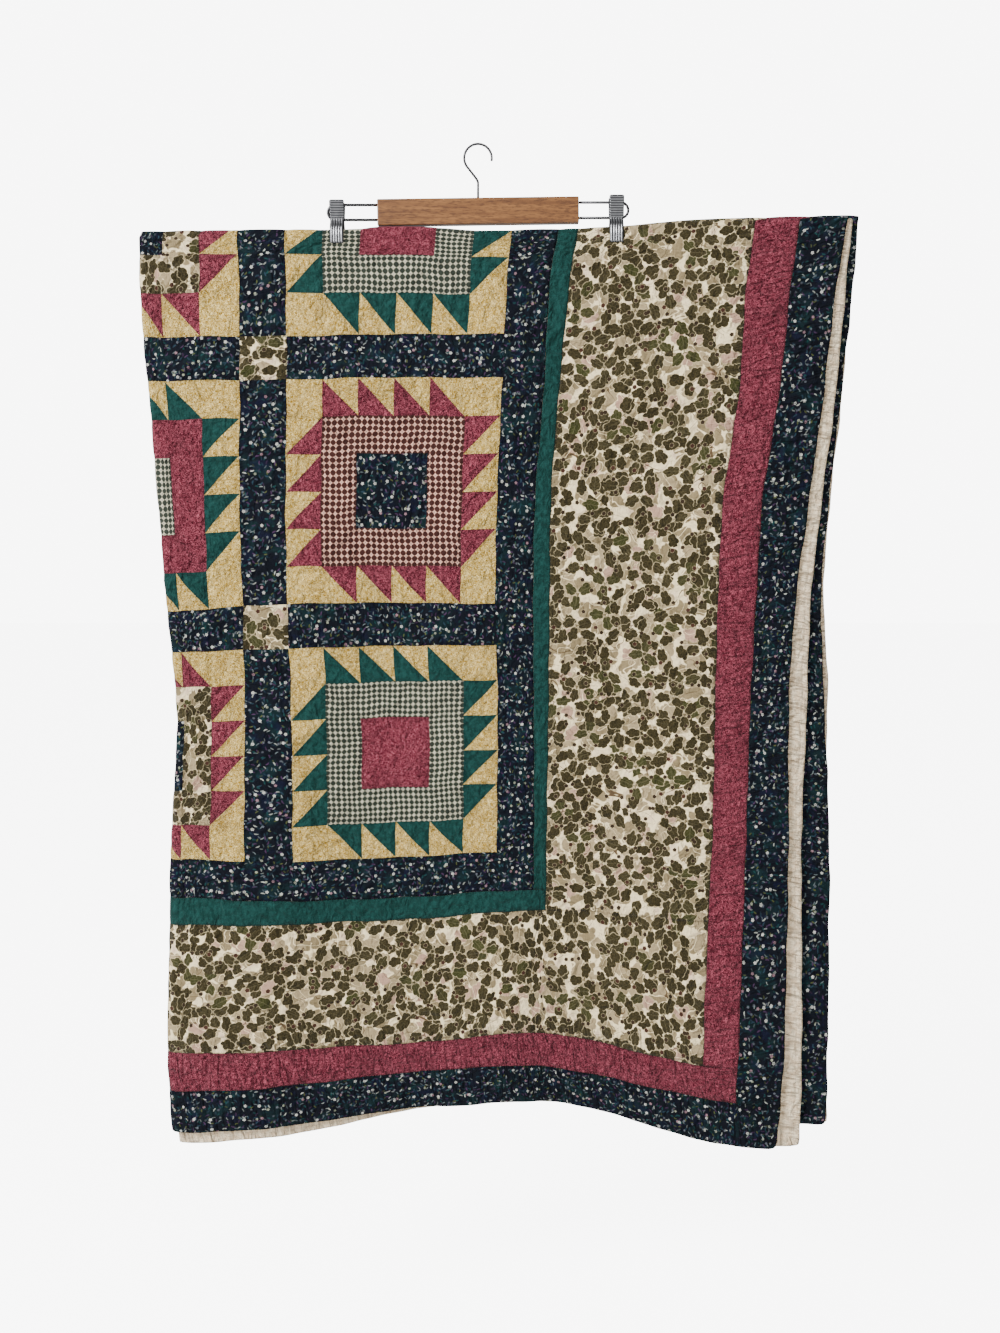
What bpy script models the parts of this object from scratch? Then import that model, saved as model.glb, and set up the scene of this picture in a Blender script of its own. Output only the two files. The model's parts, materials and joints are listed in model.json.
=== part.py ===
"""Patchwork quilt folded in four and hung by its top fold from a wooden clip hanger.

Flat, with its face up, the quilt lies with u to the right and v up. It is folded first
along v = 0 with the backing inside, then along u = 0, so that four layers hang together:
the front layer shows the quilt top, the second shows its backing, and so on.
All driving sizes are in millimetres. The origin is where a rod meets the hook, X runs
to the right, Y runs away from the viewer and Z runs up.
"""

import math
from typing import NamedTuple

import bmesh
import bpy
import numpy as np

MM = 0.001
COLLECTION = "patchwork_quilt_on_clip_hanger"

# Flat sizes of the quilt
BLOCK = 304.8
SASH = 61.0
GREEN = 28.0
LEAF_SIDE = 242.0
LEAF_END = 181.0
ROSE = 57.0
NAVY = 63.0
SEAM_GAP = 0.3

# Half widths at which the pieces meet, from the middle of the quilt outwards
U_SASH_IN = BLOCK / 2
U_SASH_OUT = U_SASH_IN + SASH
U_BLOCK_OUT = U_SASH_OUT + BLOCK
U_PANEL = U_BLOCK_OUT + SASH
U_GREEN = U_PANEL + GREEN
U_LEAF = U_GREEN + LEAF_SIDE
U_ROSE = U_LEAF + ROSE
U_EDGE = U_ROSE + NAVY
V_BLOCK_OUT = U_SASH_OUT + BLOCK
V_SASH2_OUT = V_BLOCK_OUT + SASH
V_BLOCK2_OUT = V_SASH2_OUT + BLOCK
V_PANEL = V_BLOCK2_OUT + SASH
V_GREEN = V_PANEL + GREEN
V_LEAF = V_GREEN + LEAF_END
V_ROSE = V_LEAF + ROSE
V_EDGE = V_ROSE + NAVY

# Thickness, from the middle surface of one layer
PART_GAP = 0.15
FACE_AT_SEAM = 1.25
FACE_AT_PUFF = 2.15
FACE_AT_EDGE = 0.75
BACK_AT_SEAM = 1.05
BACK_AT_PUFF = 1.3
BACK_AT_EDGE = 0.65

# Folds: half the distance between two layers, and between the two pairs of layers
PAIR_HALF_TOP = 2.2
PAIR_HALF_HEM = 4.5
FOLD_HALF_TOP = 5.4
FOLD_HALF_HEM = 9.5
TOP_FOLD_STEPS = 4
SIDE_FOLD_STEPS = 6

# Slow waves in depth, which grow from nothing at the top fold
WAVE_BROAD = 15.0
WAVE_BROAD_LENGTH = 960.0
WAVE_NARROW = 5.0
WAVE_NARROW_LENGTH = 330.0
WAVE_MIDDLE = 480.0

# The pair behind hangs a little higher than the pair in front
LIFT_TOP = 5.0
LIFT_HEM_NEAR_FOLD = 10.0
LIFT_HEM_FAR = 29.0
LIFT_BLEND = 220.0
LIFT_TOP_FROM = 560.0
LIFT_TOP_TO = 760.0


class Drop(NamedTuple):
    """World X of the fold, seams and edges at one flat distance below the top fold."""

    v: float
    turn_outer: float
    turn_inner: float
    fold: float
    sash_in: float
    sash_out: float
    block_out: float
    panel: float
    green: float
    leaf: float
    rose: float
    edge: float
    back_edge: float


DROPS = (
    Drop(0, 5, 5, -457, -324, -260, 45, 108, 135, 373, 433, 497, 514),
    Drop(84, 9, 5, -458, -322, -259, 39, 97, 124, 362, 422, 484, 509),
    Drop(228, 15, 5, -449, -320, -260, 32, 89, 110, 354, 409, 470, 497),
    Drop(384, 19, 7, -438, -321, -263, 25, 77, 99, 333, 387, 451, 482),
    Drop(507, 24, 9, -430, -318, -262, 23, 75, 98, 328, 381, 436, 473),
    Drop(649, 34, 14, -419, -316, -258, 26, 76, 97, 326, 375, 428, 478),
    Drop(855, 27, 20, -431, -320, -258, 25, 77, 95, 324, 371, 430, 490),
    Drop(1025, 30, 20, -437, -322, -261, 25, 76, 94, 318, 367, 430, 494),
    Drop(1139, 32, 19, -441, -324, -263, 25, 76, 94, 315, 364, 429, 495),
    Drop(1274, 36, 18, -437, -326, -265, 25, 76, 95, 313, 359, 421, 494),
)


class Column(NamedTuple):
    """World Z of the top fold, seams and hem at one distance from the side fold."""

    along: float
    turn: float
    top: float
    sash_in: float
    sash_out: float
    block_out: float
    sash2_out: float
    block2_out: float
    panel: float
    green: float
    leaf: float
    rose: float
    hem: float


COLUMNS = (
    Column(0, 7, -114, -256, -313, -625, -681, -968, -1022, -1061, -1245, -1307, -1366),
    Column(200, 5, -111, -254, -310, -613, -674, -971, -1027, -1060, -1242, -1294, -1355),
    Column(352, 2, -112, -250, -307, -612, -671, -967, -1025, -1057, -1236, -1280, -1334),
    Column(477, 0, -112, -250, -308, -614, -671, -961, -1017, -1047, -1224, -1271, -1325),
    Column(630, 0, -108, -249, -308, -614, -671, -962, -1018, -1049, -1236, -1285, -1337),
    Column(750, 0, -101, -247, -306, -614, -671, -964, -1020, -1055, -1257, -1304, -1363),
    Column(870, 0, -97, -245, -305, -614, -671, -965, -1021, -1058, -1269, -1319, -1382),
    Column(985, 0, -94, -244, -304, -614, -671, -967, -1022, -1061, -1273, -1325, -1388),
)


class Bar(NamedTuple):
    """Wooden bar: ends of its middle line, height and thickness."""

    half_length: float
    left_z: float
    right_z: float
    height: float
    thickness: float
    bevel: float


BAR = Bar(135.5, -88.8, -85.2, 34.4, 14.0, 1.6)

# Hook
HOOK_WIRE = 3.0
HOOK_LOOP_RADIUS = 18.5
HOOK_LOOP_LOW_ANGLE = -12.0
HOOK_NECK_ANGLE = 222.0
HOOK_STEM_TOP = -47.0
HOOK_STEPS = 24


class Clip(NamedTuple):
    """One clip on its wire loop: middle X, heights, and the loop's outer end."""

    name: str
    middle: float
    top: float
    tip: float
    wire_high: float
    wire_low: float
    loop_end: float
    bar_end: float


CLIPS = (
    Clip("left", -189.6, -73.0, -130.5, -78.1, -97.7, -202.2, -135.5),
    Clip("right", 186.1, -66.6, -129.2, -74.8, -95.1, 202.2, 135.5),
)
CLIP_WIDTH = 20.0
CLIP_PLATE = 1.2
CLIP_OPEN = 10.4
CLIP_GRIP = 8.0
CLIP_GRIP_HEIGHT = 4.0
CLIP_WAIST_HALF = 3.0
CLIP_SHOULDER = 12.0
LOOP_WIRE = 2.4
SPRING_WIRE = 1.1
SPRING_TURNS = 4
SPRING_STEPS = 8
SPRING_WIDTH = 8.0
SPRING_INWARDS = 2.5
FIT_GAP = 0.3


class Finish(NamedTuple):
    """Base colour, roughness and metallic of one material."""

    colour: tuple[float, float, float]
    roughness: float
    metallic: float


FINISHES = {
    "pieced": Finish((0.34, 0.27, 0.15), 0.9, 0.0),
    "green": Finish((0.017, 0.09, 0.065), 0.9, 0.0),
    "leaf": Finish((0.42, 0.37, 0.28), 0.9, 0.0),
    "rose": Finish((0.30, 0.048, 0.09), 0.9, 0.0),
    "navy": Finish((0.018, 0.024, 0.045), 0.9, 0.0),
    "cream": Finish((0.72, 0.62, 0.5), 0.9, 0.0),
    "wood": Finish((0.35, 0.15, 0.06), 0.5, 0.0),
    "steel": Finish((0.6, 0.6, 0.6), 0.3, 1.0),
}


def clear_scene() -> None:
    """Removes what the scene starts with."""
    for obj in list(bpy.data.objects):
        bpy.data.objects.remove(obj, do_unlink=True)


def smooth_step(value: float) -> float:
    """Rises from 0 to 1 without a corner at either end."""
    held = min(max(value, 0.0), 1.0)
    return held * held * (3.0 - 2.0 * held)


def slopes_of(xs: np.ndarray, ys: np.ndarray) -> np.ndarray:
    """Slope at each point of a table, one column of ys for each curve."""
    spans = np.diff(xs)[:, None]
    steps = np.diff(ys, axis=0) / spans
    middle = (steps[:-1] * spans[1:] + steps[1:] * spans[:-1]) / (spans[1:] + spans[:-1])
    return np.vstack([steps[:1], middle, steps[-1:]])


def curve_at(xs: np.ndarray, ys: np.ndarray, slopes: np.ndarray, x: float) -> np.ndarray:
    """Smooth curve through a table, straight beyond its last row."""
    if x >= xs[-1]:
        return ys[-1] + slopes[-1] * (x - xs[-1])
    row = max(int(np.searchsorted(xs, x, side="right")) - 1, 0)
    span = xs[row + 1] - xs[row]
    share = (x - xs[row]) / span
    other = 1.0 - share
    return (
        ys[row] * other * other * (1.0 + 2.0 * share)
        + ys[row + 1] * share * share * (3.0 - 2.0 * share)
        + slopes[row] * span * share * other * other
        - slopes[row + 1] * span * other * share * share
    )


def along_lines(knots: np.ndarray, values: np.ndarray, x: float) -> float:
    """Straight lines through knots, carried on beyond both ends."""
    row = int(np.clip(np.searchsorted(knots, x) - 1, 0, len(knots) - 2))
    share = (x - knots[row]) / (knots[row + 1] - knots[row])
    return float(values[row] + (values[row + 1] - values[row]) * share)


DROP_TABLE = np.array(DROPS, float)
DROP_V = DROP_TABLE[:, 0]
DROP_SLOPES = slopes_of(DROP_V, DROP_TABLE)
COLUMN_TABLE = np.array(COLUMNS, float)
COLUMN_P = COLUMN_TABLE[:, 0]
COLUMN_SLOPES = slopes_of(COLUMN_P, COLUMN_TABLE)
U_SEAMS = np.array(
    [U_SASH_IN, U_SASH_OUT, U_BLOCK_OUT, U_PANEL, U_GREEN, U_LEAF, U_ROSE, U_EDGE]
)
V_SEAMS = np.array(
    [
        U_SASH_IN,
        U_SASH_OUT,
        V_BLOCK_OUT,
        V_SASH2_OUT,
        V_BLOCK2_OUT,
        V_PANEL,
        V_GREEN,
        V_LEAF,
        V_ROSE,
        V_EDGE,
    ]
)


def pair_half(drop: float) -> float:
    """Half the distance between the two layers of a pair."""
    return PAIR_HALF_TOP + (PAIR_HALF_HEM - PAIR_HALF_TOP) * smooth_step(drop / V_EDGE)


def fold_half(drop: float) -> float:
    """Half the distance between the two pairs of layers."""
    return FOLD_HALF_TOP + (FOLD_HALF_HEM - FOLD_HALF_TOP) * smooth_step(drop / V_EDGE)


def stretch_x(p: float, drop: float) -> float:
    """World X of a place p beyond the middle of the side fold.

    Args:
        p: distance along the unstretched layers from the middle of the side fold.
        drop: flat distance below the top fold.
    """
    row = curve_at(DROP_V, DROP_TABLE, DROP_SLOPES, max(drop, 0.0))
    half, pair = fold_half(drop), pair_half(drop)
    outside = half + pair + FACE_AT_PUFF
    quarter = math.pi / 2
    knots = np.concatenate(
        [
            [-outside, 0.0],
            U_SEAMS - row[1] - (half + pair) * quarter,
            [U_EDGE + row[2] - (half - pair) * quarter],
        ]
    )
    values = np.concatenate([[row[3], row[3] + outside], row[4:]])
    return along_lines(knots, values, p)


def stretch_z(q: float, p: float) -> float:
    """World Z of a place q below the middle of the top fold."""
    row = curve_at(COLUMN_P, COLUMN_TABLE, COLUMN_SLOPES, max(p, 0.0))
    outside = PAIR_HALF_TOP + FACE_AT_PUFF
    turned = PAIR_HALF_TOP * math.pi / 2
    knots = np.concatenate([[-outside, 0.0], V_SEAMS - row[1] - turned])
    values = np.concatenate([[row[2], row[2] - outside], row[3:]])
    return along_lines(knots, values, q)


def lift_of(q: float, p: float, behind: float) -> float:
    """How much higher the pair behind hangs.

    Args:
        q: distance below the top fold.
        p: distance from the side fold.
        behind: distance round the side fold into the pair behind, or less than 0 in front.
    """
    if behind <= 0.0:
        return 0.0
    down = smooth_step(q / V_EDGE)
    far = smooth_step(p / U_EDGE)
    top = LIFT_TOP * smooth_step((p - LIFT_TOP_FROM) / (LIFT_TOP_TO - LIFT_TOP_FROM))
    hem = LIFT_HEM_NEAR_FOLD + (LIFT_HEM_FAR - LIFT_HEM_NEAR_FOLD) * far
    return (top * (1.0 - down) + hem * down) * smooth_step(behind / LIFT_BLEND)


def wave_of(p: float, q: float) -> float:
    """World Y by which the hanging layers wave."""
    grown = smooth_step(q / V_EDGE)
    broad = math.cos(math.tau * (p - WAVE_MIDDLE) / WAVE_BROAD_LENGTH)
    narrow = math.sin(math.tau * p / WAVE_NARROW_LENGTH + 0.9 + q / 700.0)
    return grown * (WAVE_BROAD * broad + WAVE_NARROW * narrow)


class Line(NamedTuple):
    """One line of the cloth's grid: either an angle round the fold, or a flat place."""

    turned: bool
    value: float


def hanging_point(across: Line, down: Line, inwards: tuple[float, float], out: float) -> tuple:
    """World position of a place on the folded cloth.

    Args:
        across: grid line of constant u.
        down: grid line of constant v.
        inwards: small flat shifts of u and v, for the gap at a seam.
        out: distance from the layer's middle surface, towards the quilt top's face.
    """
    quarter = math.pi / 2
    column = COLUMNS[0]
    # Place below the top fold, and place within the pair
    if down.turned:
        angle, q, drop = down.value, 0.0, 0.0
    else:
        v = down.value + inwards[1]
        angle = math.copysign(quarter, v)
        drop = abs(v)
    # The fold's turn moves with the distance from the side fold, so find that first
    estimate = across.value if not across.turned else 0.0
    turns = curve_at(
        COLUMN_P, COLUMN_TABLE, COLUMN_SLOPES, max(abs(estimate) - column.turn, 0.0)
    )
    if not down.turned:
        layer = drop + math.copysign(turns[1], v)
        q = layer - pair_half(0.0) * quarter
        drop = layer
    pair, half = pair_half(drop), fold_half(drop)
    profile_out = -pair * math.sin(angle)
    profile_up = pair_half(0.0) * math.cos(angle) if down.turned else 0.0
    middle_out = profile_out
    profile_out -= out * math.sin(angle)
    profile_up += out * math.cos(angle)
    # Place along the hairpin path of the pair
    row = curve_at(DROP_V, DROP_TABLE, DROP_SLOPES, max(drop, 0.0))
    share_in = 0.5 + 0.5 * math.sin(angle)
    turn = row[1] * (1.0 - share_in) + row[2] * share_in
    if across.turned:
        path_angle = across.value
        p = -(half + profile_out) * math.cos(path_angle)
    else:
        u = across.value + inwards[0]
        path_angle = math.copysign(quarter, u)
        p = abs(u - turn) - (half + middle_out) * quarter
    y = -(half + profile_out) * math.sin(path_angle)
    behind = max(p, 0.0) + quarter * half if path_angle <= -quarter else -1.0
    depth_down = q - profile_up
    x = stretch_x(p, drop)
    z = stretch_z(depth_down, p) + lift_of(max(q, 0.0), max(p, 0.0), behind)
    return x, y + wave_of(max(p, 0.0), max(q, 0.0)), z


def mirrored(turned: list[float], flat: list[float]) -> list[Line]:
    """Grid lines from the far side, round the fold and out to the near side."""
    far = [Line(False, -value) for value in reversed(flat)]
    fold = [Line(True, value) for value in turned]
    near = [Line(False, value) for value in flat]
    return far + fold + near


def between(start: float, end: float, shares: tuple[float, ...]) -> list[float]:
    """Places at these shares of the way from start to end."""
    return [start + (end - start) * share for share in shares]


def turned_angles(steps: int) -> list[float]:
    """Angles round a fold, from a quarter turn one way to a quarter turn the other."""
    return [math.pi * (step / steps - 0.5) for step in range(steps + 1)]


THIRDS = (1 / 3, 2 / 3)
HALF = (0.5,)
U_FLAT = (
    [90.0, U_SASH_IN]
    + between(U_SASH_IN, U_SASH_OUT, HALF)
    + [U_SASH_OUT]
    + between(U_SASH_OUT, U_BLOCK_OUT, THIRDS)
    + [U_BLOCK_OUT, U_PANEL, U_GREEN]
    + between(U_GREEN, U_LEAF, THIRDS)
    + [U_LEAF, U_ROSE]
    + between(U_ROSE, U_EDGE, HALF)
    + [U_EDGE]
)
V_FLAT = (
    [24.0, U_SASH_IN]
    + between(U_SASH_IN, U_SASH_OUT, HALF)
    + [U_SASH_OUT]
    + between(U_SASH_OUT, V_BLOCK_OUT, THIRDS)
    + [V_BLOCK_OUT]
    + between(V_BLOCK_OUT, V_SASH2_OUT, HALF)
    + [V_SASH2_OUT]
    + between(V_SASH2_OUT, V_BLOCK2_OUT, THIRDS)
    + [V_BLOCK2_OUT, V_PANEL, V_GREEN]
    + between(V_GREEN, V_LEAF, THIRDS)
    + [V_LEAF, V_ROSE]
    + between(V_ROSE, V_EDGE, HALF)
    + [V_EDGE]
)
U_LINES = mirrored(turned_angles(SIDE_FOLD_STEPS), U_FLAT)
V_LINES = mirrored(turned_angles(TOP_FOLD_STEPS), V_FLAT)


def is_seam(line: Line, seams: np.ndarray) -> bool:
    """True where a seam draws the quilt top down."""
    return not line.turned and bool(np.isclose(np.abs(seams), abs(line.value)).any())


def is_edge(line: Line, edge: float) -> bool:
    """True on the outer edge of the quilt."""
    return not line.turned and math.isclose(abs(line.value), edge)


def index_of(lines: list[Line], value: float) -> int:
    """Number of the grid line at this flat place."""
    for number, line in enumerate(lines):
        if not line.turned and math.isclose(line.value, value):
            return number
    raise ValueError(f"no grid line at {value}")


def heights_at(across: Line, down: Line) -> tuple[float, float]:
    """Heights of the quilt top's face and of the backing's face above the middle surface."""
    if is_edge(across, U_EDGE) or is_edge(down, V_EDGE):
        return FACE_AT_EDGE, BACK_AT_EDGE
    if across.turned or down.turned:
        return FACE_AT_SEAM, BACK_AT_SEAM
    if is_seam(across, U_SEAMS) or is_seam(down, V_SEAMS):
        return FACE_AT_SEAM, BACK_AT_SEAM
    return FACE_AT_PUFF, BACK_AT_PUFF


def sheet_mesh(u_range: tuple[int, int], v_range: tuple[int, int], face: bool) -> bmesh.types.BMesh:
    """Closed slab between two surfaces that follow the folded cloth.

    Args:
        u_range: first and last grid line across.
        v_range: first and last grid line down.
        face: True for a piece of the quilt top, False for the backing.
    """
    mesh = bmesh.new()
    us = range(u_range[0], u_range[1] + 1)
    vs = range(v_range[0], v_range[1] + 1)
    surfaces = []
    for near_face in (True, False):
        grid = []
        for i in us:
            column = []
            for j in vs:
                top, under = heights_at(U_LINES[i], V_LINES[j])
                if face:
                    out = top if near_face else PART_GAP
                else:
                    out = -PART_GAP if near_face else -under
                shift = [0.0, 0.0]
                if face and i == us[0] and i > 0:
                    shift[0] = SEAM_GAP / 2
                if face and i == us[-1] and i < len(U_LINES) - 1:
                    shift[0] = -SEAM_GAP / 2
                if face and j == vs[0] and j > 0:
                    shift[1] = SEAM_GAP / 2
                if face and j == vs[-1] and j < len(V_LINES) - 1:
                    shift[1] = -SEAM_GAP / 2
                place = hanging_point(U_LINES[i], V_LINES[j], (shift[0], shift[1]), out)
                column.append(mesh.verts.new([value * MM for value in place]))
            grid.append(column)
        surfaces.append(grid)
    upper, lower = surfaces
    for i in range(len(us) - 1):
        for j in range(len(vs) - 1):
            corners = [(i, j), (i + 1, j), (i + 1, j + 1), (i, j + 1)]
            for a, b, c in ((0, 1, 2), (0, 2, 3)):
                picked = [corners[a], corners[b], corners[c]]
                mesh.faces.new([upper[m][n] for m, n in picked])
                mesh.faces.new([lower[m][n] for m, n in reversed(picked)])
    rim = [(i, 0) for i in range(len(us))]
    rim += [(len(us) - 1, j) for j in range(1, len(vs))]
    rim += [(i, len(vs) - 1) for i in range(len(us) - 2, -1, -1)]
    rim += [(0, j) for j in range(len(vs) - 2, 0, -1)]
    # Each wall is split along the same diagonal as its neighbour's across the seam
    for pair in zip(rim, rim[1:] + rim[:1]):
        (i, j), (m, n) = sorted(pair)
        walls = [
            [lower[i][j], lower[m][n], upper[m][n]],
            [lower[i][j], upper[m][n], upper[i][j]],
        ]
        for wall in walls:
            mesh.faces.new(wall if pair[0] == (i, j) else wall[::-1])
    bmesh.ops.recalc_face_normals(mesh, faces=mesh.faces)
    return mesh


class Builder:
    """Puts named objects with their materials into the object's collection."""

    def __init__(self) -> None:
        self.collection = bpy.data.collections.new(COLLECTION)
        bpy.context.scene.collection.children.link(self.collection)
        self.materials = {name: self._material(name) for name in FINISHES}

    def _material(self, name: str) -> bpy.types.Material:
        finish = FINISHES[name]
        material = bpy.data.materials.new(name)
        material.use_nodes = True
        shader = material.node_tree.nodes["Principled BSDF"]
        shader.inputs["Base Color"].default_value = (*finish.colour, 1.0)
        shader.inputs["Roughness"].default_value = finish.roughness
        shader.inputs["Metallic"].default_value = finish.metallic
        return material

    def add(self, name: str, data, material: str, smooth: bool = True) -> bpy.types.Object:
        """Links a mesh or curve as one object.

        Args:
            name: name of the object and its node.
            data: mesh or curve data.
            material: key in FINISHES.
            smooth: shades a mesh smooth.
        """
        obj = bpy.data.objects.new(name, data)
        self.collection.objects.link(obj)
        data.materials.append(self.materials[material])
        if smooth and obj.type == "MESH":
            data.shade_smooth()
        return obj

    def add_mesh(self, name: str, mesh: bmesh.types.BMesh, material: str, smooth: bool = True):
        """Links a bmesh as one object and frees it."""
        data = bpy.data.meshes.new(name)
        mesh.to_mesh(data)
        mesh.free()
        return self.add(name, data, material, smooth)


def build_quilt(builder: Builder) -> None:
    """Backing, pieced centre panel and the sixteen border strips."""
    last_u, last_v = len(U_LINES) - 1, len(V_LINES) - 1
    builder.add_mesh("backing", sheet_mesh((0, last_u), (0, last_v), False), "cream")
    inner_u = (index_of(U_LINES, -U_PANEL), index_of(U_LINES, U_PANEL))
    inner_v = (index_of(V_LINES, -V_PANEL), index_of(V_LINES, V_PANEL))
    builder.add_mesh("centre_panel", sheet_mesh(inner_u, inner_v, True), "pieced")
    outer = (
        ("green", U_GREEN, V_GREEN),
        ("leaf", U_LEAF, V_LEAF),
        ("rose", U_ROSE, V_ROSE),
        ("navy", U_EDGE, V_EDGE),
    )
    for name, u_end, v_end in outer:
        wide_u = (index_of(U_LINES, -u_end), index_of(U_LINES, u_end))
        wide_v = (index_of(V_LINES, -v_end), index_of(V_LINES, v_end))
        strips = (
            ("left", (wide_u[0], inner_u[0]), inner_v),
            ("right", (inner_u[1], wide_u[1]), inner_v),
            ("lower", wide_u, (wide_v[0], inner_v[0])),
            ("upper", wide_u, (inner_v[1], wide_v[1])),
        )
        for side, across, down in strips:
            builder.add_mesh(f"{name}_border_{side}", sheet_mesh(across, down, True), name)
        inner_u, inner_v = wide_u, wide_v


def wire_curve(name: str, points: list[tuple], diameter: float, sides: int = 2):
    """Round wire along straight steps, closed at both ends.

    Args:
        name: name of the curve.
        points: world positions in millimetres.
        diameter: thickness of the wire.
        sides: bevel resolution.
    """
    curve = bpy.data.curves.new(name, "CURVE")
    curve.dimensions = "3D"
    curve.bevel_depth = diameter / 2 * MM
    curve.bevel_resolution = sides
    curve.use_fill_caps = True
    spline = curve.splines.new("POLY")
    spline.points.add(len(points) - 1)
    for point, place in zip(spline.points, points):
        point.co = (*[value * MM for value in place], 1.0)
    return curve


def as_mesh(builder: Builder, name: str, curve, material: str) -> bpy.types.Object:
    """Turns a curve into a mesh object with its ends sewn."""
    holder = bpy.data.objects.new(name + "_path", curve)
    builder.collection.objects.link(holder)
    graph = bpy.context.evaluated_depsgraph_get()
    data = bpy.data.meshes.new_from_object(holder.evaluated_get(graph))
    bpy.data.objects.remove(holder, do_unlink=True)
    mesh = bmesh.new()
    mesh.from_mesh(data)
    bmesh.ops.remove_doubles(mesh, verts=mesh.verts, dist=1e-6)
    bmesh.ops.recalc_face_normals(mesh, faces=mesh.faces)
    mesh.to_mesh(data)
    mesh.free()
    data.name = name
    data.materials.clear()
    return builder.add(name, data, material)


def arc_points(centre: tuple, radius: float, start: float, end: float, steps: int) -> list[tuple]:
    """Points on an arc in the X and Z plane, angles in degrees from +X."""
    found = []
    for step in range(steps + 1):
        angle = math.radians(start + (end - start) * step / steps)
        found.append(
            (centre[0] + radius * math.cos(angle), 0.0, centre[1] + radius * math.sin(angle))
        )
    return found


def build_bar(builder: Builder) -> None:
    """Wooden bar, a little higher at its right end."""
    slope = math.atan2(BAR.right_z - BAR.left_z, 2 * BAR.half_length)
    bpy.ops.mesh.primitive_cube_add(size=1.0)
    bar = bpy.context.active_object
    bar.name = "bar"
    bar.data.name = "bar"
    bar.scale = (2 * BAR.half_length * MM, BAR.thickness * MM, BAR.height * MM)
    bpy.ops.object.transform_apply(location=False, rotation=False, scale=True)
    bar.location = (0.0, 0.0, (BAR.left_z + BAR.right_z) / 2 * MM)
    bar.rotation_euler = (0.0, -slope, 0.0)
    for collection in list(bar.users_collection):
        collection.objects.unlink(bar)
    builder.collection.objects.link(bar)
    bevel = bar.modifiers.new("edges", "BEVEL")
    bevel.width = BAR.bevel * MM
    bevel.segments = 3
    bar.data.materials.append(builder.materials["wood"])


def build_hook(builder: Builder) -> None:
    """Hook wire: stem, neck and loop, its open end to the right."""
    centre = (0.0, HOOK_WIRE / 2 - HOOK_LOOP_RADIUS)
    bar_top = (BAR.left_z + BAR.right_z) / 2 + BAR.height / 2
    points = [(0.0, 0.0, bar_top + FIT_GAP), (0.0, 0.0, HOOK_STEM_TOP)]
    points += arc_points(
        centre, HOOK_LOOP_RADIUS, HOOK_NECK_ANGLE, HOOK_LOOP_LOW_ANGLE, HOOK_STEPS
    )
    as_mesh(builder, "hook", wire_curve("hook", points, HOOK_WIRE), "steel")


def loop_points(clip: Clip) -> list[tuple]:
    """Middle line of the wire loop that carries one clip."""
    side = math.copysign(1.0, clip.loop_end)
    start = clip.bar_end + side * FIT_GAP
    radius = (clip.wire_high - clip.wire_low) / 2
    middle = (clip.wire_high + clip.wire_low) / 2
    turn = arc_points((0.0, middle), radius, 90.0, -90.0, 8)
    bend = [
        (clip.loop_end - side * radius + side * x, y, z) for x, y, z in turn
    ]
    return [(start, 0.0, clip.wire_high)] + bend + [(start, 0.0, clip.wire_low)]


def jaw_profile(clip: Clip, side: float) -> list[tuple[float, float]]:
    """Y and Z of one jaw from its grip down to its tip; side is -1 in front, 1 behind."""
    waist = LOOP_WIRE / 2 + FIT_GAP + SPRING_WIRE + FIT_GAP
    return [
        (side * CLIP_GRIP, clip.top),
        (side * CLIP_GRIP, clip.top - CLIP_GRIP_HEIGHT),
        (side * waist, clip.wire_low + CLIP_WAIST_HALF),
        (side * waist, clip.wire_low - CLIP_WAIST_HALF),
        (side * CLIP_OPEN, clip.wire_low - CLIP_SHOULDER),
        (side * CLIP_OPEN, clip.tip),
    ]


def build_clip(builder: Builder, clip: Clip) -> None:
    """Wire loop, two sprung jaws and the spring between them."""
    curve = wire_curve(f"wire_{clip.name}", loop_points(clip), LOOP_WIRE)
    as_mesh(builder, f"wire_{clip.name}", curve, "steel")
    for where, side in (("front", -1.0), ("back", 1.0)):
        mesh = bmesh.new()
        rows = []
        for y, z in jaw_profile(clip, side):
            left = mesh.verts.new(((clip.middle - CLIP_WIDTH / 2) * MM, y * MM, z * MM))
            right = mesh.verts.new(((clip.middle + CLIP_WIDTH / 2) * MM, y * MM, z * MM))
            rows.append((left, right))
        for (a, b), (c, d) in zip(rows, rows[1:]):
            mesh.faces.new([a, c, d, b])
        bmesh.ops.recalc_face_normals(mesh, faces=mesh.faces)
        jaw = builder.add_mesh(f"clip_{clip.name}_{where}", mesh, "steel", smooth=False)
        plate = jaw.modifiers.new("plate", "SOLIDIFY")
        plate.thickness = CLIP_PLATE * MM
        faces_out = jaw.data.polygons[0].normal.y * side > 0
        plate.offset = 1.0 if faces_out else -1.0
    radius = (LOOP_WIRE + SPRING_WIRE) / 2 + FIT_GAP
    steps = SPRING_TURNS * SPRING_STEPS
    middle = clip.middle - math.copysign(SPRING_INWARDS, clip.middle)
    points = []
    for step in range(steps + 1):
        angle = math.tau * step / SPRING_STEPS
        along = middle + SPRING_WIDTH * (step / steps - 0.5)
        points.append((along, radius * math.cos(angle), clip.wire_low + radius * math.sin(angle)))
    spring = wire_curve(f"spring_{clip.name}", points, SPRING_WIRE, 1)
    as_mesh(builder, f"spring_{clip.name}", spring, "steel")


def main() -> None:
    """Builds the quilt and its hanger."""
    clear_scene()
    builder = Builder()
    build_quilt(builder)
    build_bar(builder)
    build_hook(builder)
    for clip in CLIPS:
        build_clip(builder, clip)


main()
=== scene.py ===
"""Dresses the patchwork quilt and its clip hanger: folded cloth, prints, wood, metal, studio."""

import json
import logging
import math
from dataclasses import dataclass, field
from enum import Enum
from typing import Callable, NamedTuple

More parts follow.
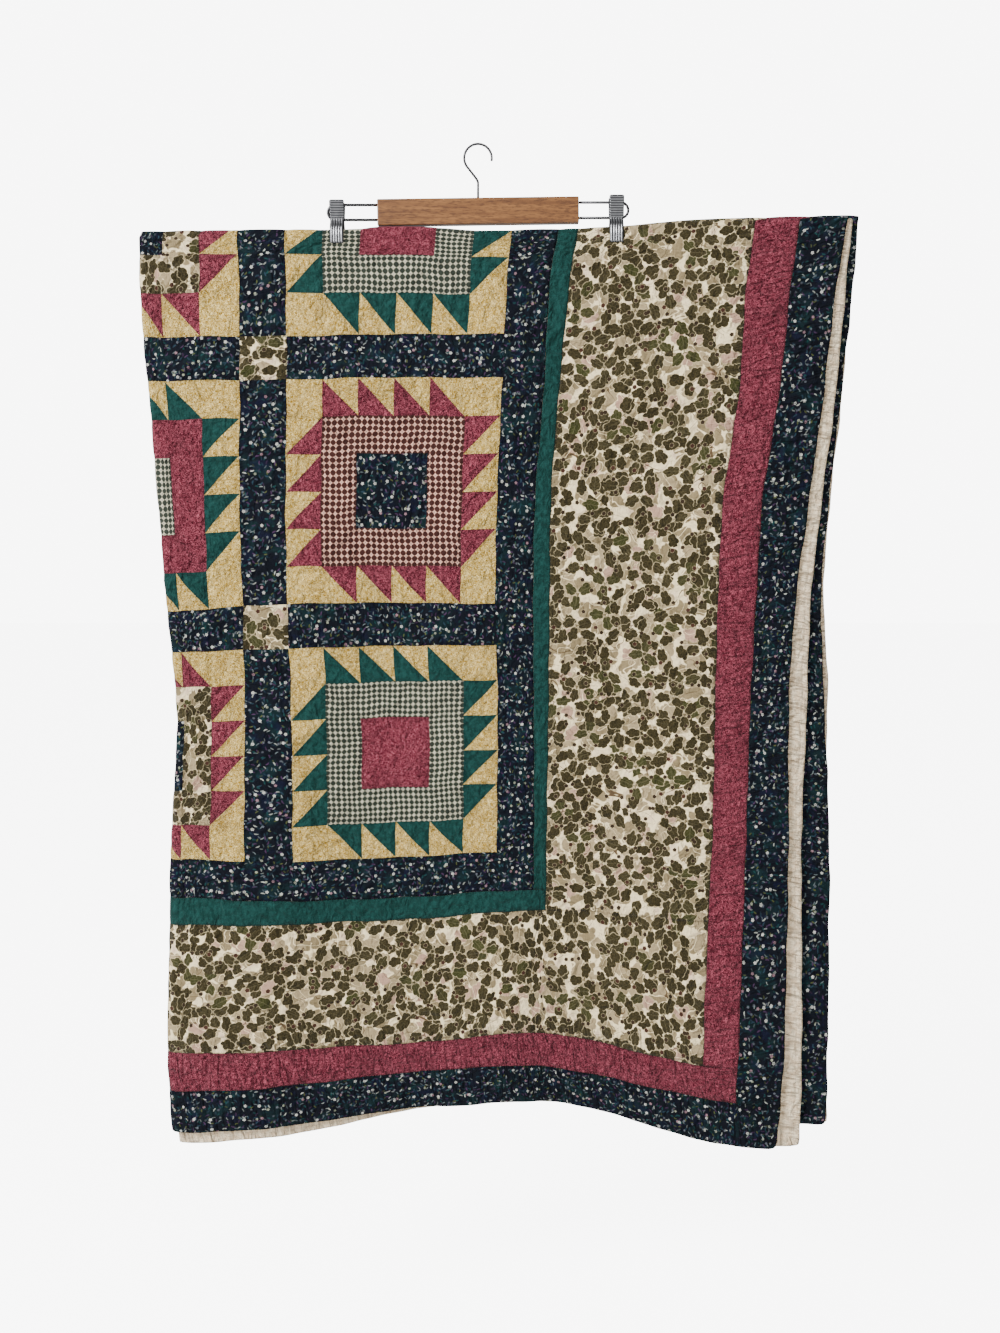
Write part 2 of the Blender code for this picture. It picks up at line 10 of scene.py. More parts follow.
import bmesh
import bpy
import numpy as np
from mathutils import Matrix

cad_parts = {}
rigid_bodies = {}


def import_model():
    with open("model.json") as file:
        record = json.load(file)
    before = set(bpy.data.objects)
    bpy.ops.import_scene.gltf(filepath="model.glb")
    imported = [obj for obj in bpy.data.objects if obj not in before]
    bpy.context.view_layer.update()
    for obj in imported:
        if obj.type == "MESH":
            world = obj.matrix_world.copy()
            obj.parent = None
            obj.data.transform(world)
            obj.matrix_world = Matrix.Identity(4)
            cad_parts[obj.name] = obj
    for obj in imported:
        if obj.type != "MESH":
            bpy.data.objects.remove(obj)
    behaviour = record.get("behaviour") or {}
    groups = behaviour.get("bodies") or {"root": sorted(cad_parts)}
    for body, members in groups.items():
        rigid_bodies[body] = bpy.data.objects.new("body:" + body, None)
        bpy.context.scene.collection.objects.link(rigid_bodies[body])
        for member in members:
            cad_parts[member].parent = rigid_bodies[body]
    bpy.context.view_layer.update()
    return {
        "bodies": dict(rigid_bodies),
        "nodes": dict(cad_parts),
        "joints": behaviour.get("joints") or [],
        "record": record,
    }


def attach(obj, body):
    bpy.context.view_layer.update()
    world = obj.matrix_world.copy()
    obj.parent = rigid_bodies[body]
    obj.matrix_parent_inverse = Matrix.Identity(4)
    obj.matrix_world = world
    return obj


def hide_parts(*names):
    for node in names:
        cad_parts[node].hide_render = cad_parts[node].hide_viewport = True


LOG = logging.getLogger("quilt")
MM = 0.001
BODY = "root"
QUARTER = math.pi / 2

# Flat sizes of the quilt in millimetres
BLOCK = 304.8
UNIT = BLOCK / 6
SASH = 61.0
GREEN = 28.0
LEAF_SIDE = 242.0
LEAF_END = 181.0
ROSE = 57.0
NAVY = 63.0
SEAM_GAP = 0.3
U_SASH_IN = BLOCK / 2
U_SASH_OUT = U_SASH_IN + SASH
U_BLOCK_OUT = U_SASH_OUT + BLOCK
U_PANEL = U_BLOCK_OUT + SASH
U_GREEN = U_PANEL + GREEN
U_LEAF = U_GREEN + LEAF_SIDE
U_ROSE = U_LEAF + ROSE
U_EDGE = U_ROSE + NAVY
V_SASH2_OUT = U_BLOCK_OUT + SASH
V_BLOCK2_OUT = V_SASH2_OUT + BLOCK
V_PANEL = V_BLOCK2_OUT + SASH
V_GREEN = V_PANEL + GREEN
V_LEAF = V_GREEN + LEAF_END
V_ROSE = V_LEAF + ROSE
V_EDGE = V_ROSE + NAVY
U_SEAMS = (U_SASH_IN, U_SASH_OUT, U_BLOCK_OUT, U_PANEL, U_GREEN, U_LEAF, U_ROSE, U_EDGE)
V_SEAMS = U_SEAMS[:3] + (V_SASH2_OUT, V_BLOCK2_OUT, V_PANEL, V_GREEN, V_LEAF, V_ROSE, V_EDGE)

# World X of fold, seams and edges by the flat distance below the top fold:
# v, turn outer, turn inner, fold, sash in, sash out, block out, panel, green, leaf, rose,
# edge, edge of the layers behind
DROPS = np.array(
    [
        (0, 5, 5, -457, -324, -260, 45, 108, 135, 373, 433, 497, 514),
        (84, 9, 5, -458, -322, -259, 39, 97, 124, 362, 422, 484, 509),
        (228, 15, 5, -449, -323, -260, 32, 89, 110, 354, 409, 470, 497),
        (384, 19, 7, -438, -325, -263, 25, 77, 99, 333, 387, 451, 482),
        (507, 24, 9, -430, -322, -262, 23, 75, 98, 328, 381, 436, 473),
        (649, 34, 14, -419, -320, -258, 26, 76, 97, 326, 375, 428, 478),
        (855, 27, 20, -431, -323, -258, 25, 77, 95, 324, 371, 430, 490),
        (1025, 30, 20, -437, -322, -261, 25, 76, 94, 318, 367, 430, 494),
        (1139, 32, 19, -441, -324, -263, 25, 76, 94, 315, 364, 429, 495),
        (1274, 36, 18, -437, -326, -265, 25, 76, 95, 313, 359, 421, 494),
    ],
    float,
)
# World Z of top fold, seams and hem by the distance from the side fold:
# along, turn, top, sash in, sash out, block out, sash 2, block 2, panel, green, leaf, rose, hem
COLUMNS = np.array(
    [
        (0, 11, -114, -256, -313, -625, -681, -968, -1022, -1061, -1243, -1300, -1358),
        (200, 9, -111, -254, -310, -613, -674, -971, -1027, -1060, -1240, -1289, -1347),
        (352, 4, -112, -250, -307, -612, -671, -967, -1025, -1057, -1236, -1279, -1331),
        (477, 0, -112, -250, -308, -614, -671, -961, -1017, -1047, -1224, -1271, -1325),
        (630, 0, -108, -249, -308, -614, -671, -962, -1018, -1049, -1236, -1285, -1337),
        (750, 0, -101, -247, -306, -614, -671, -964, -1020, -1055, -1257, -1304, -1363),
        (870, 0, -97, -245, -305, -614, -671, -965, -1021, -1058, -1269, -1319, -1382),
        (985, 0, -94, -244, -304, -614, -671, -967, -1022, -1061, -1273, -1325, -1388),
    ],
    float,
)

Numbers = np.ndarray


def smooth_step(value: Numbers) -> Numbers:
    """Rises from 0 to 1 without a corner at either end."""
    held = np.clip(value, 0.0, 1.0)
    return held * held * (3.0 - 2.0 * held)


def slopes_of(table: Numbers) -> Numbers:
    """Slope at each row of a table along its first column.

    Args:
        table: rows ordered by their first column.

    Returns:
        One row of slopes for each row.
    """
    spans = np.diff(table[:, 0])[:, None]
    steps = np.diff(table, axis=0) / spans
    middle = (steps[:-1] * spans[1:] + steps[1:] * spans[:-1]) / (spans[1:] + spans[:-1])
    return np.vstack([steps[:1], middle, steps[-1:]])


def rows_at(table: Numbers, slopes: Numbers, x: Numbers) -> Numbers:
    """Smooth curve through a table's rows, straight beyond its last row.

    Args:
        table: rows ordered by their first column.
        slopes: slope at each row.
        x: places along the first column.

    Returns:
        One row for each place.
    """
    xs = table[:, 0]
    row = np.clip(np.searchsorted(xs, x, side="right") - 1, 0, len(xs) - 2)
    span = (xs[row + 1] - xs[row])[:, None]
    share = np.minimum((x - xs[row])[:, None] / span, 1.0)
    other = 1.0 - share
    inside = (
        table[row] * other * other * (1.0 + 2.0 * share)
        + table[row + 1] * share * share * (3.0 - 2.0 * share)
        + slopes[row] * span * share * other * other
        - slopes[row + 1] * span * other * share * share
    )
    return inside + slopes[-1] * np.maximum(x - xs[-1], 0.0)[:, None]


def along_lines(knots: Numbers, values: Numbers, x: Numbers) -> Numbers:
    """Straight lines through each place's own knots, carried on beyond both ends.

    Args:
        knots: one row of rising places for each place of x.
        values: the value at each knot.
        x: the places.

    Returns:
        The value at each place.
    """
    row = np.clip((knots < x[:, None]).sum(1) - 1, 0, knots.shape[1] - 2)
    at = np.arange(len(x))
    left, right = knots[at, row], knots[at, row + 1]
    share = (x - left) / (right - left)
    return values[at, row] + (values[at, row + 1] - values[at, row]) * share


def new_piece(name: str, mesh: bpy.types.Mesh) -> bpy.types.Object:
    """Adds a smooth-shaded object to the scene.

    Args:
        name: name of the piece.
        mesh: its mesh.

    Returns:
        The new object.
    """
    mesh.polygons.foreach_set("use_smooth", np.ones(len(mesh.polygons), bool))
    obj = bpy.data.objects.new(name, mesh)
    bpy.context.scene.collection.objects.link(obj)
    return obj


class Ripple(NamedTuple):
    """One slow wave of the cloth: height, length, direction and phase."""

    height: float
    length: float
    angle: float
    phase: float

    def at(self, across: Numbers, down: Numbers) -> Numbers:
        """Height of the wave.

        Args:
            across: places across.
            down: places down.

        Returns:
            The height at each place.
        """
        turn = math.radians(self.angle)
        along = across * math.cos(turn) + down * math.sin(turn)
        return self.height * np.sin(math.tau * along / self.length + self.phase)


class Crease(NamedTuple):
    """One soft trough or ridge, placed in the flat quilt."""

    u: float
    v: float
    angle: float
    length: float
    width: float
    depth: float

    def at(self, u: Numbers, v: Numbers) -> Numbers:
        """Height that the crease adds.

        Args:
            u: flat places across.
            v: flat places up.

        Returns:
            The height at each place.
        """
        turn = math.radians(self.angle)
        along = (u - self.u) * math.cos(turn) + (v - self.v) * math.sin(turn)
        cross = -(u - self.u) * math.sin(turn) + (v - self.v) * math.cos(turn)
        fade = np.exp(-((2.0 * along / self.length) ** 4))
        return self.depth * fade * np.exp(-((cross / self.width) ** 2))


class CreaseRow(NamedTuple):
    """Like creases across one strip: the strip's middle, their size, and their places."""

    along_v: bool
    middle: float
    tilt: float
    length: float
    width: float
    depth: float
    places: tuple[float, ...]

    def creases(self) -> list[Crease]:
        """Lists the creases, their tilt and depth changing from one to the next.

        Returns:
            Each crease of the row.
        """
        found = []
        for number, place in enumerate(self.places):
            lean = self.tilt * math.sin(2.4 * number + self.middle)
            deep = self.depth * (1.0 + 0.35 * math.sin(1.7 * number + self.length))
            if self.along_v:
                middle, angle = (self.middle, place), lean
            else:
                middle, angle = (place, self.middle), 90.0 + lean
            found.append(Crease(*middle, angle, self.length, self.width, deep))
        return found


# Tilt, length, width and depth of the creases of each kind of strip
ON_ROSE = (14, 62, 6.0, -1.15)
ON_NAVY = (18, 60, 7.0, -1.0)
ON_GREEN = (16, 30, 4.5, -0.75)
ON_SASH = (20, 58, 6.0, -0.8)
ROSE_SIDE = (
    *(-96, -188, -262, -338, -424, -497, -566, -655, -704, -752, -798, -850, -906, -962),
    *(-1016, -1078, -1136),
)
NAVY_SIDE = (
    *(-132, -228, -304, -392, -452, -540, -611, -676, -731, -812, -871, -940, -1002, -1066),
    *(-1124, -1188),
)
GREEN_SIDE = (
    *(-62, -118, -152, -204, -236, -331, -378, -416, -470, -521, -602, -648, -702, -792),
    *(-838, -881, -930),
)
ROSE_LOW = (88, 141, 203, 262, 331, 372, 440, 525, 569, 624, 668, 742, 790, 838)
NAVY_LOW = (112, 168, 246, 318, 402, 478, 546, 608, 690, 744, 822, 888)
GREEN_LOW = (72, 124, 182, 236, 271, 322, 366, 412, 452, 498, 541)
SASH_OUTER = (-96, -176, -268, -352, -433, -514, -588, -668, -744, -826, -902)
SASH_INNER = (-72, -118, -268, -341, -402, -468, -622, -690, -764, -836, -912)
CREASE_ROWS = (
    CreaseRow(True, 878, *ON_ROSE, ROSE_SIDE),
    CreaseRow(True, 938, *ON_NAVY, NAVY_SIDE),
    CreaseRow(True, 593, *ON_GREEN, GREEN_SIDE),
    CreaseRow(False, -1182, *ON_ROSE, ROSE_LOW),
    CreaseRow(False, -1242, *ON_NAVY, NAVY_LOW),
    CreaseRow(False, -959, *ON_GREEN, GREEN_LOW),
    CreaseRow(True, 548, *ON_SASH, SASH_OUTER),
    CreaseRow(True, 182, *ON_SASH, SASH_INNER),
    CreaseRow(False, -182, *ON_SASH, (96, 262, 318, 376, 438, 492)),
    CreaseRow(False, -548, *ON_SASH, (88, 128, 252, 322, 386, 452, 500)),
    CreaseRow(False, -914, *ON_SASH, (96, 142, 248, 306, 372, 430, 488, 552)),
)
# Single creases: u, v, angle, length, width and depth
SINGLE_CREASES = (
    (730, -300, 72, 260, 13, -1.4),
    (694, -624, 82, 240, 11, -1.2),
    (790, -455, 98, 190, 10, -1.0),
    (781, -868, 62, 210, 11, -1.2),
    (660, -962, 22, 170, 10, -1.1),
    (640, -440, 88, 150, 9, -0.9),
    (690, -120, 97, 150, 10, -1.0),
    (812, -1068, 44, 120, 9, -1.0),
    (150, -1062, 14, 170, 10, -1.1),
    (262, -1096, 84, 90, 8, -0.9),
    (338, -1050, 78, 110, 9, -1.0),
    (520, -1072, 96, 120, 9, -1.1),
    (436, -1112, 6, 160, 8, -0.9),
    (596, -1128, -10, 130, 8, -0.8),
    (92, -560, 84, 210, 12, 1.8),
    (70, -655, 60, 120, 12, 2.0),
    (74, -712, -35, 90, 9, -1.2),
    (100, -330, 80, 150, 10, -1.1),
    (128, -812, 76, 130, 9, -1.0),
    (236, -400, 88, 120, 7, -0.7),
    (492, -420, 92, 130, 7, -0.7),
    (366, -238, 4, 150, 7, -0.7),
    (366, -492, -5, 160, 7, -0.7),
    (240, -760, 90, 140, 7, -0.7),
    (494, -742, 86, 140, 7, -0.7),
    (362, -858, 3, 160, 7, -0.7),
    (436, -96, 60, 90, 7, -0.7),
    (300, -100, 100, 90, 7, -0.7),
)
CREASES = (
    *(Crease(*row) for row in SINGLE_CREASES),
    *(crease for row in CREASE_ROWS for crease in row.creases()),
)


@dataclass
class FoldedCloth:
    """Maps the flat quilt to the way it hangs, folded once across and once down.

    Flat places are in millimetres from the middle of the quilt, u to the right and v up.
    """

    pair_half_top: float = 2.2
    pair_half_hem: float = 4.5
    fold_half_top: float = 5.4
    fold_half_hem: float = 9.5
    puff: float = 2.15
    broad: float = 15.0
    broad_length: float = 960.0
    broad_middle: float = 480.0
    narrow: float = 5.0
    narrow_length: float = 330.0
    narrow_phase: float = 0.9
    narrow_slant: float = 700.0
    flat_above: float = 30.0
    flat_blend: float = 160.0
    lift_top: float = 5.0
    lift_hem: tuple[float, float] = (10.0, 29.0)
    lift_blend: float = 220.0
    lift_from: tuple[float, float] = (560.0, 760.0)
    corner: float = 8.0
    drawn_from: tuple[float, ...] = (0.0, 48.6, 99.0, 150.0)
    drawn_up: tuple[float, ...] = (0.0, 12.0, 8.0, 0.0)
    drawn_end: float = 800.0
    drawn_blend: float = 200.0
    drawn_past: tuple[float, ...] = (0.0, 28.0, 79.0, 130.0)
    drawn_left: tuple[float, ...] = (0.0, 7.0, 5.0, 0.0)
    wander: tuple[float, float] = (0.6, 0.2)
    hump: tuple[float, float, float, float] = (4.6, 360.0, 62.0, 34.0)
    ripples: tuple[Ripple, ...] = (
        Ripple(1.5, 190.0, 12.0, 0.4),
        Ripple(1.1, 128.0, 71.0, 2.1),
        Ripple(0.9, 96.0, -38.0, 4.0),
        Ripple(0.6, 61.0, 83.0, 1.3),
    )

    def __post_init__(self) -> None:
        """Keeps the slopes of both tables."""
        self.drop_slopes = slopes_of(DROPS)
        self.column_slopes = slopes_of(COLUMNS)

    def pair_half(self, drop: Numbers) -> Numbers:
        """Half the distance between the two layers of a pair."""
        share = smooth_step(drop / V_EDGE)
        return self.pair_half_top + (self.pair_half_hem - self.pair_half_top) * share

    def fold_half(self, drop: Numbers) -> Numbers:
        """Half the distance between the two pairs of layers."""
        share = smooth_step(drop / V_EDGE)
        return self.fold_half_top + (self.fold_half_hem - self.fold_half_top) * share

    def world_x(self, p: Numbers, drop: Numbers, rows: Numbers) -> Numbers:
        """World X of places beside the side fold.

        Args:
            p: distance beyond the middle of the side fold.
            drop: flat distance below the top fold.
            rows: the row of DROPS at that distance.

        Returns:
            World X in millimetres.
        """
        half, pair = self.fold_half(drop), self.pair_half(drop)
        outside = half + pair + self.puff
        seams = np.array(U_SEAMS)[None, :] - rows[:, 1:2] - ((half + pair) * QUARTER)[:, None]
        last = U_EDGE + rows[:, 2] - (half - pair) * QUARTER
        knots = np.column_stack([-outside, np.zeros_like(p), seams, last])
        values = np.column_stack([rows[:, 3], rows[:, 3] + outside, rows[:, 4:]])
        return along_lines(knots, values, p)

    def world_z(self, q: Numbers, p: Numbers) -> Numbers:
        """World Z of places under the top fold.

        Args:
            q: distance below the middle of the top fold.
            p: distance beyond the middle of the side fold.

        Returns:
            World Z in millimetres.
        """
        rows = rows_at(COLUMNS, self.column_slopes, np.maximum(p, 0.0))
        outside = self.pair_half_top + self.puff
        turned = self.pair_half_top * QUARTER
        seams = np.array(V_SEAMS)[None, :] - rows[:, 1:2] - turned
        knots = np.column_stack([np.full_like(q, -outside), np.zeros_like(q), seams])
        values = np.column_stack([rows[:, 2], rows[:, 2] - outside, rows[:, 3:]])
        return along_lines(knots, values, q)

    def lift(self, q: Numbers, p: Numbers, behind: Numbers) -> Numbers:
        """How much higher the pair behind hangs.

        Args:
            q: distance below the middle of the top fold.
            p: distance beyond the middle of the side fold.
            behind: distance past the side fold on the pair behind, below 0 in front.

        Returns:
            The lift in millimetres.
        """
        down = smooth_step(q / V_EDGE)
        start, end = self.lift_from
        top = self.lift_top * smooth_step((p - start) / (end - start))
        near, far = self.lift_hem
        hem = near + (far - near) * smooth_step(p / U_EDGE)
        lifted = (top * (1.0 - down) + hem * down) * smooth_step(behind / self.lift_blend)
        return np.where(behind > 0.0, lifted, 0.0)

    def wave(self, p: Numbers, q: Numbers) -> Numbers:
        """World Y by which the hanging layers wave together.

        Args:
            p: distance beyond the middle of the side fold.
            q: distance below the middle of the top fold.

        Returns:
            World Y in millimetres.
        """
        grown = smooth_step(q / V_EDGE)
        broad = np.cos(math.tau * (p - self.broad_middle) / self.broad_length)
        narrow = np.sin(
            math.tau * p / self.narrow_length + self.narrow_phase + q / self.narrow_slant
        )
        slow = grown * (self.broad * broad + self.narrow * narrow)
        held = smooth_step((q - self.flat_above) / self.flat_blend)
        return slow + held * sum(ripple.at(p, q) for ripple in self.ripples)

    def unevenly_cut(self, u: Numbers, v: Numbers) -> tuple[Numbers, Numbers]:
        """Rounds the quilt's corners and lets its seams and edges wander a little.

        Args:
            u: flat places across.
            v: flat places up.

        Returns:
            The places as they really lie.
        """
        past_u = np.abs(u) - (U_EDGE - self.corner)
        past_v = np.abs(v) - (V_EDGE - self.corner)
        both = (past_u > 0.0) & (past_v > 0.0)
        far = np.hypot(past_u, past_v)
        share = np.where(both, np.maximum(past_u, past_v) / np.maximum(far, 1e-6), 1.0)
        u = np.where(both, np.sign(u) * (U_EDGE - self.corner + past_u * share), u)
        v = np.where(both, np.sign(v) * (V_EDGE - self.corner + past_v * share), v)
        slow, quick = self.wander
        return (
            u + slow * np.sin(v / 14.2 + u / 160.0) + quick * np.sin(v / 6.3 + u / 50.0),
            v + slow * np.sin(u / 15.5 + v / 150.0 + 2.0) + quick * np.sin(u / 6.9 + v / 60.0),
        )

    def place(self, u: Numbers, v: Numbers, out: Numbers) -> Numbers:
        """Hangs flat places.

        Args:
            u: millimetres to the right of the quilt's middle.
            v: millimetres above the quilt's middle.
            out: height above the layer's middle surface, towards the quilt top's face.

        Returns:
            World positions in metres, one row each.
        """
        u, v = self.unevenly_cut(u, v)
        reach = np.maximum(np.abs(u) - COLUMNS[0, 1], 0.0)
        arc_down = v + rows_at(COLUMNS, self.column_slopes, reach)[:, 1]
        drop = np.abs(arc_down)
        angle = np.clip(arc_down / self.pair_half_top, -QUARTER, QUARTER)
        q = np.maximum(drop - self.pair_half_top * QUARTER, 0.0)
        pair, half = self.pair_half(drop), self.fold_half(drop)
        middle_out = -pair * np.sin(angle)
        profile_out = middle_out - out * np.sin(angle)
        profile_up = (self.pair_half_top + out) * np.cos(angle)
        rows = rows_at(DROPS, self.drop_slopes, drop)
        share_in = 0.5 + 0.5 * np.sin(angle)
        side = u - (rows[:, 1] * (1.0 - share_in) + rows[:, 2] * share_in)
        radius = half + middle_out
        path = np.clip(side / radius, -QUARTER, QUARTER)
        straight = np.abs(side) - radius * QUARTER
        p = np.where(straight > 0.0, straight, -(half + profile_out) * np.cos(path))
        flat_p = np.maximum(p, 0.0)
        behind = np.where(side <= -radius * QUARTER, flat_p + QUARTER * half, -1.0)
        x = self.world_x(p - np.interp(p, self.drawn_past, self.drawn_left), drop, rows)
        y = -(half + profile_out) * np.sin(path) + self.wave(flat_p, q)
        fade_out = smooth_step((self.drawn_end - flat_p) / self.drawn_blend)
        drawn = np.interp(q, self.drawn_from, self.drawn_up) * fade_out
        z = self.world_z(q - drawn - profile_up, p) + self.lift(q, flat_p, behind)
        rise, middle, reached, fade = self.hump
        z = z + rise * np.exp(-(((flat_p - middle) / reached) ** 4) - drop / fade)
        return np.column_stack([x, y, z]) * MM


class Cloth(Enum):
    """The printed and plain cottons."""

    NAVY = "navy_calico"
    TAN = "tan_mottle"
    GREEN = "green_plain"
    ROSE = "rose_scribble"
    LEAF = "leaf_print"
    PINK_CHECK = "pink_check"
    GREY_CHECK = "grey_check"
    CREAM = "cream_muslin"


class Slant(Enum):
    """Seam across a square unit of a block."""

    NONE = 0
    RISING = 1
    FALLING = 2


class BlockLook(NamedTuple):
    """Fabrics of one block: its points, its frame and its middle."""

    points: Cloth
    frame: Cloth
    middle: Cloth


# Blocks by distance from the middle column and the middle row
BLOCK_LOOKS = {
    (0, 0): BlockLook(Cloth.ROSE, Cloth.LEAF, Cloth.NAVY),
    (1, 0): BlockLook(Cloth.GREEN, Cloth.GREY_CHECK, Cloth.ROSE),
    (0, 1): BlockLook(Cloth.GREEN, Cloth.ROSE, Cloth.GREY_CHECK),
    (1, 1): BlockLook(Cloth.ROSE, Cloth.PINK_CHECK, Cloth.NAVY),
    (0, 2): BlockLook(Cloth.ROSE, Cloth.LEAF, Cloth.NAVY),
    (1, 2): BlockLook(Cloth.GREEN, Cloth.GREY_CHECK, Cloth.ROSE),
}
FAR = 1e3


@dataclass
class Patchwork:
    """The pieced panel: three blocks by five, with sashes and cornerstones between."""

    units: int = 6

    def slant(self, column: int, row: int) -> Slant:
        """Finds the diagonal seam of one unit of a block.

        Args:
            column: the unit's column from the block's lower left corner.
            row: its row.

        Returns:
            The way its seam runs.
        """
        inner = range(1, 5)
        if (column, row) in ((1, 1), (4, 4)) or (column in (0, 5) and row in inner):
            return Slant.RISING
        if (column, row) in ((1, 4), (4, 1)) or (row in (0, 5) and column in inner):
            return Slant.FALLING
        return Slant.NONE

    def line_sewn(self, line: int, across: int) -> bool:
        """True if a block's line number `line` is a seam in the unit row `across`."""
        return line in (0, 1, 5, 6) or across in (0, 5) or (line in (2, 4) and across in (2, 3))

    def span(self, value: float) -> tuple[bool, int, float]:
        """Finds the block or sash that a flat distance falls in.

        Args:
            value: the distance from the quilt's middle.

        Returns:
            True for a block, its number from the middle, and the signed place from its centre.
        """
        number = round(value / (BLOCK + SASH))
        offset = value - number * (BLOCK + SASH)
        return abs(offset) <= BLOCK / 2, abs(number), offset

    def unit_of(self, offset: float) -> tuple[int, float]:
        """Finds the unit that holds a place of a block.

        Args:
            offset: the place from the block's centre.

        Returns:
            Number of the unit, and the share across it.
        """
        place = (offset + BLOCK / 2) / UNIT
        number = min(max(int(math.floor(place)), 0), self.units - 1)
        return number, place - number

    def cloth_at(self, u: float, v: float) -> Cloth:
        """Finds the fabric at a place of the panel.

        Args:
            u: flat place across.
            v: flat place up.

        Returns:
            The fabric.
        """
        in_column, column, across = self.span(u)
        in_row, row, up = self.span(v)
        if not in_column and not in_row:
            outer = abs(u) > U_BLOCK_OUT or abs(v) > V_BLOCK2_OUT
            return Cloth.NAVY if outer else Cloth.LEAF
        if not in_column or not in_row:
            return Cloth.NAVY
        look = BLOCK_LOOKS[(column, row)]
        i, share_u = self.unit_of(across)
        j, share_v = self.unit_of(up)
        if i in (2, 3) and j in (2, 3):
            return look.middle
        if 1 <= i <= 4 and 1 <= j <= 4:
            return look.frame
        if i in (0, 5) and j in (0, 5):
            return Cloth.TAN
        if j == 5:
            pointed = share_u + share_v < 1.0
        elif j == 0:
            pointed = share_u + share_v > 1.0
        elif i == 5:
            pointed = share_v > share_u
        else:
            pointed = share_v < share_u
        return look.points if pointed else Cloth.TAN

    def cut_at(self, u: float, v: float) -> tuple[float, float] | None:
        """Finds the slanting seam through the unit of a block.

        Args:
            u: flat place across, within the unit.
            v: flat place up.

        Returns:
            The seam's slope and its v at u = 0, or None where no seam slants.
        """
        in_column, _, across = self.span(u)
        in_row, _, up = self.span(v)
        if not (in_column and in_row):
            return None
        column, share_u = self.unit_of(across)
        row, share_v = self.unit_of(up)
        corner_u, corner_v = u - share_u * UNIT, v - share_v * UNIT
        slant = self.slant(column, row)
        if slant is Slant.RISING:
            return 1.0, corner_v - corner_u
        if slant is Slant.FALLING:
            return -1.0, corner_v + UNIT + corner_u
        return None

    def seam_distance(self, u: Numbers, v: Numbers) -> Numbers:
        """Measures from places of the panel to their nearest seam.

        Args:
            u: flat places across.
            v: flat places up.

        Returns:
            Millimetres to the seam.
        """
        found = np.full(u.shape, FAR)
        for places, seams in ((u, U_SEAMS[:4]), (v, V_SEAMS[:6])):
            for seam in seams:
                found = np.minimum(found, np.abs(np.abs(places) - seam))
        step = BLOCK + SASH
        across = u - np.round(u / step) * step
        up = v - np.round(v / step) * step
        inside = (np.abs(across) <= BLOCK / 2) & (np.abs(up) <= BLOCK / 2)
        a = np.clip((across + BLOCK / 2) / UNIT, 0, self.units - 1e-4)
        b = np.clip((up + BLOCK / 2) / UNIT, 0, self.units - 1e-4)
        i, j = a.astype(int), b.astype(int)
        share_a, share_b = a - i, b - j
        count = range(self.units)
        sewn = np.array(
            [[self.line_sewn(line, row) for row in count] for line in range(self.units + 1)]
        )
        near = np.minimum.reduce(
            [
                np.where(sewn[i, j], share_a, FAR),
                np.where(sewn[i + 1, j], 1.0 - share_a, FAR),
                np.where(sewn[j, i], share_b, FAR),
                np.where(sewn[j + 1, i], 1.0 - share_b, FAR),
            ]
        )
        kind = np.array([[self.slant(c, r).value for r in count] for c in count])[i, j]
        rising = np.where(kind == Slant.RISING.value, np.abs(share_a - share_b), FAR)
        falling = np.where(kind == Slant.FALLING.value, np.abs(share_a + share_b - 1.0), FAR)
        near = np.minimum(near, np.minimum(rising, falling) * math.sqrt(0.5))
        return np.where(inside, np.minimum(found, near * UNIT), found)


class Region(NamedTuple):
    """One rectangle of the flat quilt, its name and its fabric."""

    name: str
    u0: float
    u1: float
    v0: float
    v1: float
    cloth: Cloth

    @property
    def pieced(self) -> bool:
        """True for the panel of blocks."""
        return self.name == "centre_panel"


UNIT_SHARES = (0.0, 0.06, 0.2, 0.38, 0.62, 0.8, 0.94)
# First line, end and step of the close lines over each fold
FOLD_ZONE_U = (-20.0, 62.0, 2.6)
FOLD_ZONE_V = (-12.0, 5.5, 1.1)
SEAM_MARGIN = 3.0
ON_SEAM = 1e-4


def with_zone(lines: list[float], zone: tuple[float, float, float]) -> list[float]:
    """Adds close lines over a fold and drops any that come nearly on another.

    Args:
        lines: the grid lines so far.
        zone: first, end and step of the close lines.

    Returns:
        All lines in order.
    """
    low, high, step = zone
    kept = list(lines)
    for value in np.arange(low, high, step):
        inside = lines[0] < value < lines[-1]
        if inside and min(abs(value - other) for other in lines) > 0.35 * step:
            kept.append(float(value))
    return sorted(kept)


def panel_lines(half: float, zone: tuple[float, float, float]) -> list[float]:
    """Grid lines of the pieced panel, close by every seam and fold.

    Args:
        half: half the panel's width or height.
        zone: close lines over the fold.

    Returns:
        The lines in order.
    """
    lines: list[float] = []
    place = -half
    while place < half - 1.0:
        widths = [(place, SASH)]
        place += SASH
        if place < half - 1.0:
            widths += [(place + k * UNIT, UNIT) for k in range(6)]
            place += BLOCK
        lines += [start + share * width for start, width in widths for share in UNIT_SHARES]
    return with_zone([*lines, half], zone)


def strip_lines(
    start: float, end: float, pitch: float, zone: tuple[float, float, float]
) -> list[float]:
    """Grid lines of a plain strip, with one close by each seam.

    Args:
        start: the strip's low side.
        end: its high side.
        pitch: distance between two lines.
        zone: close lines over the fold, where the strip crosses it.

    Returns:
        The lines in order.
    """
    steps = max(int(round((end - start - 2 * SEAM_MARGIN) / pitch)), 1)
    inner = np.linspace(start + SEAM_MARGIN, end - SEAM_MARGIN, steps + 1)
    lines = [start, *[float(x) for x in inner], end]
    return with_zone(lines, zone) if start < 0.0 < end else lines


